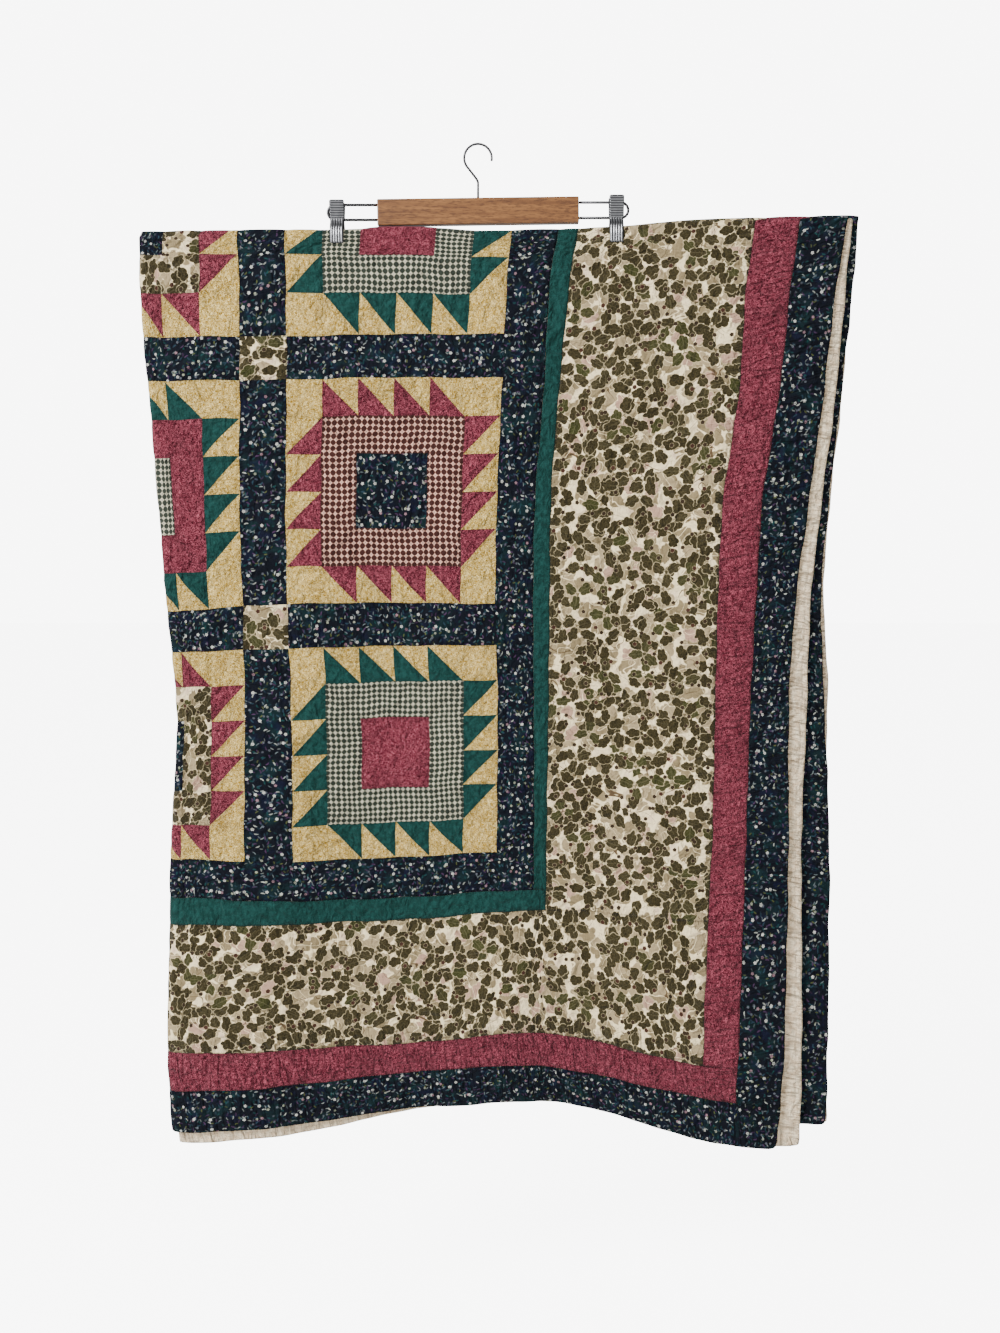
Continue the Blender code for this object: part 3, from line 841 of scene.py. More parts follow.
@dataclass
class SheetBuilder:
    """Turns rectangles of the flat quilt into closed hanging sheets."""

    folds: FoldedCloth
    patchwork: Patchwork
    materials: dict[Cloth, bpy.types.Material]
    inner_gap: float = 0.15
    face_seam: float = 1.2
    face_puff: float = 2.25
    face_edge: float = 0.75
    face_least: float = 0.6
    back_seam: float = 1.0
    back_puff: float = 1.45
    back_edge: float = 0.65
    back_least: float = 0.45
    puff_reach: float = 11.0
    edge_reach: float = 6.0
    still_reach: float = 14.0
    narrow_strip: float = 100.0
    marked_reach: float = 60.0
    creases: tuple[Crease, ...] = CREASES
    crinkles: list[Ripple] = field(default_factory=list)

    def __post_init__(self) -> None:
        """Picks the small waves of washed cloth, the same on each run."""
        chance = np.random.default_rng(41)
        ranges = ((0.05, 0.12), (19.0, 58.0), (0.0, 180.0), (0.0, math.tau))
        for _ in range(14):
            self.crinkles.append(Ripple(*[float(chance.uniform(*limits)) for limits in ranges]))

    def exposed(self, v: Numbers) -> Numbers:
        """1 on the layers in front and behind that nothing lies against, 0 on the inner ones."""
        return smooth_step(-(v + 20.0) / 60.0)

    def rim_distance(self, region: Region, u: Numbers, v: Numbers) -> Numbers:
        """Millimetres to the nearest side of a rectangle."""
        sides = [u - region.u0, region.u1 - u, v - region.v0, region.v1 - v]
        return np.minimum.reduce(sides).clip(0.0)

    def edge_distance(self, u: Numbers, v: Numbers) -> Numbers:
        """Millimetres to the quilt's outer edge."""
        return np.minimum(U_EDGE - np.abs(u), V_EDGE - np.abs(v)).clip(0.0)

    def puffed(self, seam: Numbers, low: float, high: float) -> Numbers:
        """Height that rises from low at a seam to high away from it."""
        return low + (high - low) * (1.0 - np.exp(-seam / self.puff_reach))

    def crinkled(self, u: Numbers, v: Numbers) -> Numbers:
        """Height of the small waves of washed cloth."""
        return sum(ripple.at(u, v) for ripple in self.crinkles)

    def relief(self, region: Region, u: Numbers, v: Numbers, seam: Numbers) -> Numbers:
        """Small waves and creases that fade at seams and edges.

        Args:
            region: the rectangle.
            u: flat places across.
            v: flat places up.
            seam: distance to the nearest seam.

        Returns:
            The height that they add.
        """
        fade = smooth_step(seam / self.still_reach)
        cross = np.zeros_like(u)
        width, length = region.u1 - region.u0, region.v1 - region.v0
        if min(width, length) < self.narrow_strip:
            along, over = (v, u) if length > width else (u, v)
            bent = 0.02 * over + 1.1 * np.sin(along / 61.0)
            cross = 0.34 * np.sin(math.tau * along / 37.0 + bent)
            cross += 0.22 * np.sin(math.tau * along / 17.3 + 0.05 * over + np.sin(along / 23.0))
        hand = sum((crease.at(np.abs(u), v) for crease in self.creases), np.zeros_like(u))
        return (self.crinkled(u, v) + cross) * fade * 0.9 + hand * smooth_step(seam / 5.0)

    def face_height(self, region: Region, u: Numbers, v: Numbers, seam: Numbers) -> Numbers:
        """Height of the quilt top's face above the middle surface.

        Args:
            region: the rectangle.
            u: flat places across.
            v: flat places up.
            seam: distance to the nearest seam.

        Returns:
            The height in millimetres.
        """
        shown = 0.15 + 0.85 * self.exposed(v)
        puff = self.puffed(seam, self.face_seam, self.face_puff)
        puff = puff + self.relief(region, u, v, seam) * shown
        edge = smooth_step(self.edge_distance(u, v) / self.edge_reach)
        return np.maximum(self.face_edge + (puff - self.face_edge) * edge, self.face_least)

    def back_height(self, region: Region, u: Numbers, v: Numbers, seam: Numbers) -> Numbers:
        """Height of the backing's face below the middle surface.

        Args:
            region: the rectangle, which makes no difference here.
            u: flat places across.
            v: flat places up.
            seam: distance to the nearest seam.

        Returns:
            The height in millimetres.
        """
        puff = self.puffed(seam, self.back_seam, self.back_puff)
        near_edge = smooth_step((140.0 - self.edge_distance(u, v)) / 60.0)
        by_side = U_EDGE - np.abs(u) < V_EDGE - np.abs(v)
        along, over = np.where(by_side, v, u), np.where(by_side, u, v)
        pucker = 0.42 * np.sin(math.tau * along / 23.0 + 0.06 * over + 1.3 * np.sin(along / 47.0))
        pucker += 0.3 * np.sin(math.tau * along / 12.7 + 0.1 * over + np.sin(along / 19.0))
        small = 0.35 * self.crinkled(u, v) * smooth_step(seam / self.still_reach)
        puff = puff + small + near_edge * pucker
        edge = smooth_step(self.edge_distance(u, v) / self.edge_reach)
        return np.maximum(self.back_edge + (puff - self.back_edge) * edge, self.back_least)

    def seam_distance(self, region: Region, u: Numbers, v: Numbers) -> Numbers:
        """Measures from places of a rectangle to their nearest seam.

        Args:
            region: the rectangle.
            u: flat places across.
            v: flat places up.

        Returns:
            Millimetres to the seam.
        """
        if region.cloth is Cloth.CREAM:
            found = self.edge_distance(u, v)
            for places, seams in ((u, U_SEAMS[:7]), (v, V_SEAMS[:9])):
                for seam in seams:
                    found = np.minimum(found, np.abs(np.abs(places) - seam) + 2.0)
            return found
        found = self.rim_distance(region, u, v)
        if region.pieced:
            found = np.minimum(found, self.patchwork.seam_distance(u, v))
        return found

    def halves(
        self,
        quad: list[int],
        points: list[tuple[float, float]],
        added: dict[tuple[float, float], int],
        cut: tuple[float, float],
    ) -> list[list[int]]:
        """Splits one cell along a slanting seam.

        Args:
            quad: the cell's point numbers.
            points: all flat points; new ones are added.
            added: numbers of the points that seams have added.
            cut: the seam's slope and its v at u = 0.

        Returns:
            The two parts, or the cell itself where the seam misses it.
        """
        slope, start = cut
        sides = [points[k][1] - (start + slope * points[k][0]) for k in quad]
        if min(sides) > -ON_SEAM or max(sides) < ON_SEAM:
            return [quad]
        parts = []
        for sign in (1.0, -1.0):
            part = []
            for k in range(4):
                after = (k + 1) % 4
                here, there = sides[k] * sign, sides[after] * sign
                if here >= -ON_SEAM:
                    part.append(quad[k])
                if max(here, there) > ON_SEAM and min(here, there) < -ON_SEAM:
                    share = here / (here - there)
                    (u0, v0), (u1, v1) = points[quad[k]], points[quad[after]]
                    place = (u0 + (u1 - u0) * share, v0 + (v1 - v0) * share)
                    key = (round(place[0], 4), round(place[1], 4))
                    if key not in added:
                        added[key] = len(points)
                        points.append(place)
                    part.append(added[key])
            parts.append(part)
        return parts

    def flat_faces(
        self, region: Region, us: list[float], vs: list[float]
    ) -> tuple[Numbers, list[list[int]], list[int], list[Cloth]]:
        """Cuts a rectangle into cells, split along the slanting seams of the blocks.

        Args:
            region: the rectangle.
            us: grid lines across.
            vs: grid lines up.

        Returns:
            Flat points, faces as point numbers, a fabric number for each face, and the fabrics.
        """
        grid_u, grid_v = np.meshgrid(us, vs, indexing="ij")
        points = [tuple(pair) for pair in np.column_stack([grid_u.ravel(), grid_v.ravel()])]
        cloths = [region.cloth]
        if region.pieced:
            cloths = [cloth for cloth in Cloth if cloth is not Cloth.CREAM]
        faces: list[list[int]] = []
        kinds: list[int] = []
        added: dict[tuple[float, float], int] = {}
        rows = len(vs)
        for i in range(len(us) - 1):
            for j in range(rows - 1):
                start = i * rows + j
                quad = [start, start + rows, start + rows + 1, start + 1]
                if not region.pieced:
                    faces.append(quad)
                    kinds.append(0)
                    continue
                u, v = (us[i] + us[i + 1]) / 2, (vs[j] + vs[j + 1]) / 2
                cut = self.patchwork.cut_at(u, v)
                for part in self.halves(quad, points, added, cut) if cut else [quad]:
                    if part is not quad:
                        u, v = [sum(points[k][axis] for k in part) / len(part) for axis in (0, 1)]
                    faces.append(part)
                    kinds.append(cloths.index(self.patchwork.cloth_at(u, v)))
        return np.array(points, float), faces, kinds, cloths

    def hidden_faces(
        self, count: int, rows: int, over: list[int], up: list[int]
    ) -> list[list[int]]:
        """Faces of the coarser hidden side and of the rim between both sides.

        Args:
            count: number of points on the shown side.
            rows: number of its lines up.
            over: numbers of the lines across that the hidden side keeps.
            up: numbers of the lines up that it keeps.

        Returns:
            Faces as point numbers.
        """
        faces = []
        width, last = len(up), len(over) - 1
        for i in range(last):
            for j in range(width - 1):
                start = count + i * width + j
                faces.append([start, start + 1, start + width + 1, start + width])
        sides = (
            [(k, 0) for k in range(last + 1)],
            [(last, k) for k in range(width)],
            [(k, width - 1) for k in reversed(range(last + 1))],
            [(0, k) for k in reversed(range(width))],
        )
        for side in sides:
            for (a, b), (c, d) in zip(side, side[1:]):
                start, end = count + a * width + b, count + c * width + d
                i, j, di, dj = over[a], up[b], over[c] - over[a], up[d] - up[b]
                steps = max(abs(di), abs(dj))
                fine = [
                    (i + di * k // steps) * rows + j + dj * k // steps for k in range(steps + 1)
                ]
                half = max(steps // 2, 1)
                faces += [[start if k < half else end, fine[k + 1], fine[k]] for k in range(steps)]
                faces.append([start, end, fine[half]])
        return faces

    def drawn_in(
        self, places: Numbers, us: list[float], vs: list[float], inwards: tuple[float, ...]
    ) -> tuple[Numbers, Numbers]:
        """Draws the sides of a rectangle in from its seams.

        Args:
            places: flat places, one row each.
            us: grid lines across.
            vs: grid lines up.
            inwards: how far the low u, high u, low v and high v sides are drawn in.

        Returns:
            The places across and up.
        """
        low_u, high_u, low_v, high_v = inwards
        u, v = places.T
        return (
            u + low_u * (u == us[0]) - high_u * (u == us[-1]),
            v + low_v * (v == vs[0]) - high_v * (v == vs[-1]),
        )

    def build(
        self, region: Region, us: list[float], vs: list[float], inwards: tuple[float, ...]
    ) -> bpy.types.Object:
        """Makes one closed sheet.

        Args:
            region: the rectangle.
            us: grid lines across.
            vs: grid lines up.
            inwards: how far the low u, high u, low v and high v sides are drawn in.

        Returns:
            The new object, with its flat places as a UV map in metres.
        """
        flat, faces, kinds, cloths = self.flat_faces(region, us, vs)
        over, up = self.every_second(us, FOLD_ZONE_U), self.every_second(vs, FOLD_ZONE_V)
        grid = np.meshgrid([us[k] for k in over], [vs[k] for k in up], indexing="ij")
        under = np.column_stack([lines.ravel() for lines in grid])
        faces += self.hidden_faces(len(flat), len(vs), over, up)
        kinds += [0] * (len(faces) - len(kinds))
        seam = self.seam_distance(region, *flat.T)
        if region.cloth is Cloth.CREAM:
            faces = [face[::-1] for face in faces]
            outer, inner = -self.back_height(region, *flat.T, seam), -self.inner_gap
        else:
            outer, inner = self.face_height(region, *flat.T, seam), self.inner_gap
        shown = self.folds.place(*self.drawn_in(flat, us, vs, inwards), outer)
        hidden = self.folds.place(
            *self.drawn_in(under, us, vs, inwards), np.full(len(under), inner)
        )
        mesh = bpy.data.meshes.new(region.name)
        mesh.from_pydata(np.vstack([shown, hidden]).tolist(), [], faces)
        for cloth in cloths:
            mesh.materials.append(self.materials[cloth])
        mesh.polygons.foreach_set("material_index", np.array(kinds, np.int32))
        places = np.vstack([flat, under]) * MM
        corners = np.empty(len(mesh.loops), np.int32)
        mesh.loops.foreach_get("vertex_index", corners)
        layer = mesh.uv_layers.new(name="Flat")
        layer.uv.foreach_set("vector", places[corners].astype(np.float32).ravel())
        near = np.concatenate([seam, self.seam_distance(region, *under.T)])
        marks = (near.clip(0, self.marked_reach) * MM).astype(np.float32)
        mesh.attributes.new("seam", "FLOAT", "POINT").data.foreach_set("value", marks)
        mesh.update()
        return new_piece(region.name + "_cloth", mesh)

    def every_second(self, lines: list[float], zone: tuple[float, float, float]) -> list[int]:
        """Picks the lines that the hidden side keeps.

        Args:
            lines: the grid lines.
            zone: the fold's zone, where every line is kept.

        Returns:
            Their numbers.
        """
        last = len(lines) - 1
        low, high, _ = zone
        return [
            k for k, value in enumerate(lines) if k % 2 == 0 or k == last or low <= value <= high
        ]


def linear(red: float, green: float, blue: float) -> tuple[float, float, float, float]:
    """Linear colour of an sRGB colour.

    Args:
        red: red from 0 to 255.
        green: green from 0 to 255.
        blue: blue from 0 to 255.

    Returns:
        Red, green, blue and alpha.
    """
    parts = []
    for value in (red, green, blue):
        share = value / 255.0
        parts.append(share / 12.92 if share <= 0.04045 else ((share + 0.055) / 1.055) ** 2.4)
    return (*parts, 1.0)


class Term:
    """Output of a node; sums and comparisons on it add maths nodes."""

    def __init__(self, wiring: "Wiring", socket: bpy.types.NodeSocket) -> None:
        """Keeps the socket and the wiring that links it."""
        self.wiring = wiring
        self.socket = socket

    def __add__(self, other: object) -> "Term":
        """This value plus another."""
        return self.wiring.math("ADD", self, other)

    def __radd__(self, other: object) -> "Term":
        """Another value plus this one."""
        return self.wiring.math("ADD", other, self)

    def __sub__(self, other: object) -> "Term":
        """This value less another."""
        return self.wiring.math("SUBTRACT", self, other)

    def __rsub__(self, other: object) -> "Term":
        """Another value less this one."""
        return self.wiring.math("SUBTRACT", other, self)

    def __mul__(self, other: object) -> "Term":
        """This value times another."""
        return self.wiring.math("MULTIPLY", self, other)

    def __rmul__(self, other: object) -> "Term":
        """Another value times this one."""
        return self.wiring.math("MULTIPLY", other, self)

    def __truediv__(self, other: object) -> "Term":
        """This value divided by another."""
        return self.wiring.math("DIVIDE", self, other)

    def __rtruediv__(self, other: object) -> "Term":
        """Another value divided by this one."""
        return self.wiring.math("DIVIDE", other, self)

    def __pow__(self, other: object) -> "Term":
        """This value to the power of another."""
        return self.wiring.math("POWER", self, other)

    def __abs__(self) -> "Term":
        """This value without its sign."""
        return self.wiring.math("ABSOLUTE", self)

    def __lt__(self, other: object) -> "Term":
        """1 where this value is less than another, else 0."""
        return self.wiring.math("LESS_THAN", self, other)


class Wiring:
    """Adds nodes to one node tree and links them."""

    def __init__(self, tree: bpy.types.NodeTree) -> None:
        """Keeps the tree."""
        self.tree = tree

    def add(self, kind: str, **settings: object) -> bpy.types.Node:
        """Adds a node.

        Args:
            kind: its type.
            **settings: its properties.

        Returns:
            The node.
        """
        node = self.tree.nodes.new(kind)
        for name, value in settings.items():
            setattr(node, name, value)
        return node

    def out(self, node: bpy.types.Node, name: str | int = 0) -> Term:
        """Named or numbered output of a node."""
        return Term(self, node.outputs[name])

    def feed(self, socket: bpy.types.NodeSocket, value: object) -> None:
        """Links a term to an input, or sets the input to a plain value.

        Args:
            socket: the input.
            value: a term or a plain value; None leaves the input as it is.
        """
        if isinstance(value, Term):
            self.tree.links.new(value.socket, socket)
        elif value is not None:
            socket.default_value = value

    def put(self, node: bpy.types.Node, **values: object) -> None:
        """Feeds a node's named inputs; underscores stand for spaces."""
        for label, value in values.items():
            self.feed(node.inputs[label.replace("_", " ")], value)

    def math(self, operation: str, *values: object) -> Term:
        """Adds one maths node.

        Args:
            operation: what it does.
            *values: its inputs.

        Returns:
            Its output.
        """
        node = self.add("ShaderNodeMath", operation=operation)
        for socket, value in zip(node.inputs, values):
            self.feed(socket, value)
        return self.out(node)

    def step(self, value: object, low: float, high: float) -> Term:
        """Smooth step from 0 at low to 1 at high.

        Args:
            value: the value that is stepped.
            low: where it gives 0.
            high: where it gives 1; it may lie below low.

        Returns:
            A value from 0 to 1.
        """
        node = self.add("ShaderNodeMapRange", interpolation_type="SMOOTHSTEP")
        turned = float(low > high)
        self.put(
            node,
            Value=value,
            From_Min=min(low, high),
            From_Max=max(low, high),
            To_Min=turned,
            To_Max=1.0 - turned,
        )
        return self.out(node, "Result")

    def mix(self, factor: object, a: object, b: object, blend: str = "MIX") -> Term:
        """Mixes two colours.

        Args:
            factor: share of the second colour.
            a: first colour.
            b: second colour.
            blend: way of mixing.

        Returns:
            The mixed colour.
        """
        node = self.add("ShaderNodeMix", data_type="RGBA", blend_type=blend)
        for number, value in ((0, factor), (6, a), (7, b)):
            self.feed(node.inputs[number], value)
        return self.out(node, 2)

    def combine(self, x: object, y: object, z: object = 0.0) -> Term:
        """Joins three numbers.

        Args:
            x: first number.
            y: second number.
            z: third number.

        Returns:
            The vector.
        """
        node = self.add("ShaderNodeCombineXYZ")
        for socket, value in zip(node.inputs, (x, y, z)):
            self.feed(socket, value)
        return self.out(node)

    def split(self, vector: Term) -> list[Term]:
        """Takes a vector apart.

        Args:
            vector: the vector.

        Returns:
            Its three numbers.
        """
        node = self.add("ShaderNodeSeparateXYZ")
        self.feed(node.inputs[0], vector)
        return [self.out(node, number) for number in range(3)]

    def vector(self, operation: str, a: object, b: object = None, scale: object = None) -> Term:
        """Adds one vector maths node.

        Args:
            operation: what it does.
            a: first vector.
            b: second vector.
            scale: factor of a scaling.

        Returns:
            The vector that comes out.
        """
        node = self.add("ShaderNodeVectorMath", operation=operation)
        for number, value in ((0, a), (1, b), (3, scale)):
            self.feed(node.inputs[number], value)
        return self.out(node)

    def noise(
        self,
        vector: Term,
        scale: float,
        detail: float = 2.0,
        rough: float = 0.5,
        twist: float = 0.0,
        kind: str = "2D",
    ) -> tuple[Term, Term]:
        """Adds a noise.

        Args:
            vector: where it is looked up.
            scale: its scale.
            detail: its octaves.
            rough: strength of the finer octaves.
            twist: its distortion.
            kind: 2D or 3D.

        Returns:
            Its value and its colour.
        """
        node = self.add("ShaderNodeTexNoise", noise_dimensions=kind)
        self.put(
            node, Vector=vector, Scale=scale, Detail=detail, Roughness=rough, Distortion=twist
        )
        return self.out(node, 0), self.out(node, 1)

    def bump(self, height: Term, strength: float, distance: float) -> Term:
        """Adds a bump.

        Args:
            height: height of the surface.
            strength: share of the bump that shows.
            distance: metres to a height of 1.

        Returns:
            The bent normal.
        """
        node = self.add("ShaderNodeBump")
        self.put(node, Strength=strength, Distance=distance, Height=height)
        return self.out(node, "Normal")


class GroupMaker:
    """Makes each shared node group once."""

    def __init__(self) -> None:
        """Makes every group."""
        self.made: dict[str, bpy.types.NodeTree] = {}
        for make in (
            self.scatter,
            self.stroke,
            self.blossom,
            self.leaf,
            self.sprig,
            self.weave,
            self.crinkle,
            self.pucker,
            self.stitching,
        ):
            make()

    def start(
        self, name: str, inputs: dict[str, float | None], outputs: tuple[str, ...]
    ) -> tuple[Wiring, dict[str, Term], bpy.types.Node]:
        """Starts a group with named sockets.

        Args:
            name: name of the group.
            inputs: default value of each input; None stands for a vector.
            outputs: names of its outputs; all but Local are numbers.

        Returns:
            The group's wiring, its inputs and its output node.
        """
        tree = bpy.data.node_groups.new(name, "ShaderNodeTree")
        for label, value in inputs.items():
            kind = "NodeSocketVector" if value is None else "NodeSocketFloat"
            socket = tree.interface.new_socket(label, in_out="INPUT", socket_type=kind)
            if value is not None:
                socket.default_value = value
        for label in outputs:
            kind = "NodeSocketVector" if label == "Local" else "NodeSocketFloat"
            tree.interface.new_socket(label, in_out="OUTPUT", socket_type=kind)
        wiring = Wiring(tree)
        begin = wiring.add("NodeGroupInput")
        end = wiring.add("NodeGroupOutput")
        self.made[name] = tree
        return wiring, {label: wiring.out(begin, label) for label in inputs}, end

    def place(self, wiring: Wiring, name: str, **values: object) -> dict[str, Term]:
        """Places a group in a tree.

        Args:
            wiring: wiring of the tree.
            name: name of the group.
            **values: its inputs.

        Returns:
            Its outputs.
        """
        node = wiring.add("ShaderNodeGroup")
        node.node_tree = self.made[name]
        wiring.put(node, **values)
        return {socket.name: Term(wiring, socket) for socket in node.outputs}

    def scatter(self) -> None:
        """Motifs strewn over the cloth: each place as seen from its nearest motif."""
        w, into, end = self.start(
            "Scatter",
            {"Flat": None, "Cell": 10.0, "Shift": 0.0, "Jitter": 0.8},
            ("Local", "Pick", "Tint"),
        )
        shift, cell = into["Shift"], into["Cell"]
        moved = w.vector("ADD", into["Flat"], w.combine(shift, shift * 1.7))
        spot = w.vector("SCALE", moved, scale=1.0 / cell)
        cells = w.add("ShaderNodeTexVoronoi", voronoi_dimensions="2D", feature="F1")
        w.put(cells, Vector=spot, Scale=1.0, Randomness=into["Jitter"])
        away = w.vector("SUBTRACT", spot, w.out(cells, "Position"))
        away = w.vector("SCALE", away, scale=cell)
        turn, pick, tint = w.split(w.out(cells, "Color"))
        turn = turn * math.tau
        x, y, _ = w.split(away)
        cos, sin = w.math("COSINE", turn), w.math("SINE", turn)
        local = w.combine(x * cos + y * sin, y * cos - x * sin)
        w.put(end, Local=local, Pick=pick, Tint=tint)

    def stroke(self) -> None:
        """A small oval leaf or stroke round its own middle."""
        w, into, end = self.start(
            "Stroke", {"Local": None, "Long": 3.0, "Wide": 1.0, "Bend": 0.0}, ("Mask",)
        )
        x, y, _ = w.split(into["Local"])
        bent = y + into["Bend"] * (x * x)
        far = abs(x / into["Long"]) ** 2.0 + abs(bent / into["Wide"]) ** 2.0
        w.put(end, Mask=w.step(far, 1.25, 0.75))

    def blossom(self) -> None:
        """A round flower with notched petals and an eye."""
        w, into, end = self.start(
            "Blossom",
            {"Local": None, "Radius": 3.0, "Petals": 5.0, "Notch": 0.18},
            ("Mask", "Eye"),
        )
        x, y, _ = w.split(into["Local"])
        turn = w.math("ARCTAN2", y, x)
        far = w.math("SQRT", x * x + y * y)
        wave = w.math("COSINE", turn * into["Petals"])
        share = far / ((1.0 + into["Notch"] * wave) * into["Radius"])
        w.put(end, Mask=w.step(share, 1.08, 0.86), Eye=w.step(share, 0.36, 0.22))

    def leaf(self) -> None:
        """An oval leaf with blunt lobes, a rim outside it and faint veins."""
        w, into, end = self.start(
            "Leaf",
            {"Local": None, "Long": 10.0, "Wide": 6.5, "Rim": 1.2},
            ("Mask", "Halo", "Vein"),
        )
        x, y, _ = w.split(into["Local"])
        share_x, share_y = x / into["Long"], y / into["Wide"]
        turn = w.math("ARCTAN2", share_y, share_x)
        far = w.math("SQRT", share_x ** 2.0 + share_y ** 2.0)
        lobes = 0.3 * abs(w.math("COSINE", turn * 2.5)) ** 0.75
        tip = abs(w.math("COSINE", turn)) ** 6.0
        share = far / (w.math("MULTIPLY_ADD", tip, 0.08, 0.77) + lobes)
        rim = into["Rim"] / into["Wide"]
        rib = w.step(abs(y), 0.75, 0.25)
        cycle = w.math("FRACT", w.math("MULTIPLY_ADD", abs(y), 0.9, x) / 4.6)
        side = w.step(abs(cycle - 0.5), 0.16, 0.05)
        w.put(
            end,
            Mask=w.step(share, 1.06, 0.94),
            Halo=w.step(share - rim, 1.05, 0.95),
            Vein=w.math("MAXIMUM", rib, side * 0.6),
        )

    def sprig(self) -> None:
        """Three leaves of unlike size round one stem."""
        outputs = ("Mask", "Halo", "Vein")
        w, into, end = self.start("Sprig", {"Local": None, "Size": 1.0}, outputs)
        x, y, _ = w.split(w.vector("SCALE", into["Local"], scale=1.0 / into["Size"]))
        found: dict[str, object] = dict.fromkeys(outputs, 0.0)
        for angle, away, long, wide in SPRIG_LEAVES:
            cos, sin = math.cos(math.radians(angle)), math.sin(math.radians(angle))
            along, over = x * cos + y * sin, y * cos - x * sin
            local = w.combine(along - away, over)
            blade = self.place(w, "Leaf", Local=local, Long=long, Wide=wide, Rim=0.8)
            for label in outputs:
                found[label] = w.math("MAXIMUM", found[label], blade[label])
            stem = w.step(abs(over), 0.8, 0.4) * w.step(along, away, 0.5)
            stem = stem * w.step(along, -0.5, 0.5)
            found["Mask"] = w.math("MAXIMUM", found["Mask"], stem * 0.8)
        w.put(end, **found)

    def weave(self) -> None:
        """Plain weave: height of the threads and a slight change of colour between them."""
        w, into, end = self.start(
            "Weave", {"Flat": None, "Pitch": 0.55, "Slub": 0.5}, ("Height", "Shade")
        )
        x, y, _ = w.split(into["Flat"])
        pitch = into["Pitch"]
        over = w.math("SINE", x * math.pi / pitch) * w.math("SINE", y * math.pi / pitch)
        slub = w.noise(w.vector("MULTIPLY", into["Flat"], (0.05, 1.3, 0.0)), 1.0, 1.0)[0]
        slub = slub + w.noise(w.vector("MULTIPLY", into["Flat"], (1.3, 0.05, 0.0)), 1.0, 1.0)[0]
        w.put(
            end,
            Height=w.math("MULTIPLY_ADD", over, 0.5, 0.5),
            Shade=(slub - 1.0) * into["Slub"],
        )

    def crinkle(self) -> None:
        """Puckers that gather by the seams and soft wrinkles elsewhere, and a mask of painted shade
        for their valleys.
        """
        w, into, end = self.start(
            "Crinkle", {"Flat": None, "Seam": 10.0, "Strength": 1.0}, ("Height", "Valley")
        )
        gather = w.math("EXPONENT", into["Seam"] * -1.0 / 7.0)
        fine = w.noise(into["Flat"], 0.16, 3.0, 0.55, 0.4)[0]
        broad = w.noise(into["Flat"], 0.045, 2.0, 0.5, 0.6)[0]
        near = (fine - 0.5) * w.math("MULTIPLY_ADD", gather, 1.5, 0.5)
        w.put(
            end,
            Height=(near + (broad - 0.5) * 2.6) * into["Strength"],
            Valley=w.step(abs(broad - 0.42), 0.03, 0.0) * w.step(fine, 0.35, 0.6),
        )

    def by_edge(self, w: Wiring, flat: Term) -> tuple[Term, Term]:
        """Measures from the quilt's outer edge.

        Args:
            w: wiring of the group.
            flat: flat place in millimetres.

        Returns:
            Distance to the nearest edge, and place along that edge.
        """
        x, y, _ = w.split(flat)
        from_side, from_end = U_EDGE - abs(x), V_EDGE - abs(y)
        side = from_side < from_end
        return w.math("MINIMUM", from_side, from_end), y * side + x * (1.0 - side)

    def pucker(self) -> None:
        """Narrow creases square to the quilt's outer edges, and a mask of painted shade for their
        valleys.
        """
        w, into, end = self.start(
            "Pucker", {"Flat": None, "Reach": 140.0}, ("Height", "Valley")
        )
        nearest, along = self.by_edge(w, into["Flat"])
        slanted = w.math("MULTIPLY_ADD", nearest, 0.16, along)
        place = w.combine(slanted * 0.075, nearest * 0.016)
        off = abs(w.noise(place, 1.0, 1.0, 0.5, 0.3)[0] - 0.5)
        fine = w.noise(w.vector("SCALE", place, scale=2.3), 1.0, 1.0)[0]
        fade = w.step(nearest / into["Reach"], 1.2, 0.8)
        height = w.math("MULTIPLY_ADD", fine - 0.5, 0.3, w.math("MINIMUM", off, 0.16))
        w.put(end, Height=height * fade, Valley=w.step(off, 0.045, 0.0) * fade)

    def stitching(self) -> None:
        """A row of machine stitches beside the quilt's outer edge."""
        w, into, end = self.start(
            "Stitching", {"Flat": None, "Inset": 8.0, "Length": 3.2}, ("Mask", "Dimple")
        )
        nearest, along = self.by_edge(w, into["Flat"])
        off = abs(nearest - into["Inset"])
        cycle = w.math("FRACT", along / into["Length"])
        thread = abs(cycle - 0.5) < 0.36
        w.put(end, Mask=w.step(off, 0.5, 0.3) * thread, Dimple=w.step(off, 3.0, 0.2))


@dataclass(frozen=True)
class PrintColours:
    """Ground and motif colours of one cotton, as sRGB from 0 to 255."""

    ground: tuple[float, float, float]
    motif: tuple[float, float, float]
    accent: tuple[float, float, float]
    roughness: float = 0.88
    sheen: float = 0.06
    pitch: float = 8.4
    # Strength of the painted shade that darkens the cloth within 2 mm of a seam
    seam_shade: float = 0.07
    # Colour of the painted shade in the valleys of creases and puckers
    shadow: tuple[float, float, float] = (20, 16, 18)
    drawn: float = 8.0
    stitched: bool = False


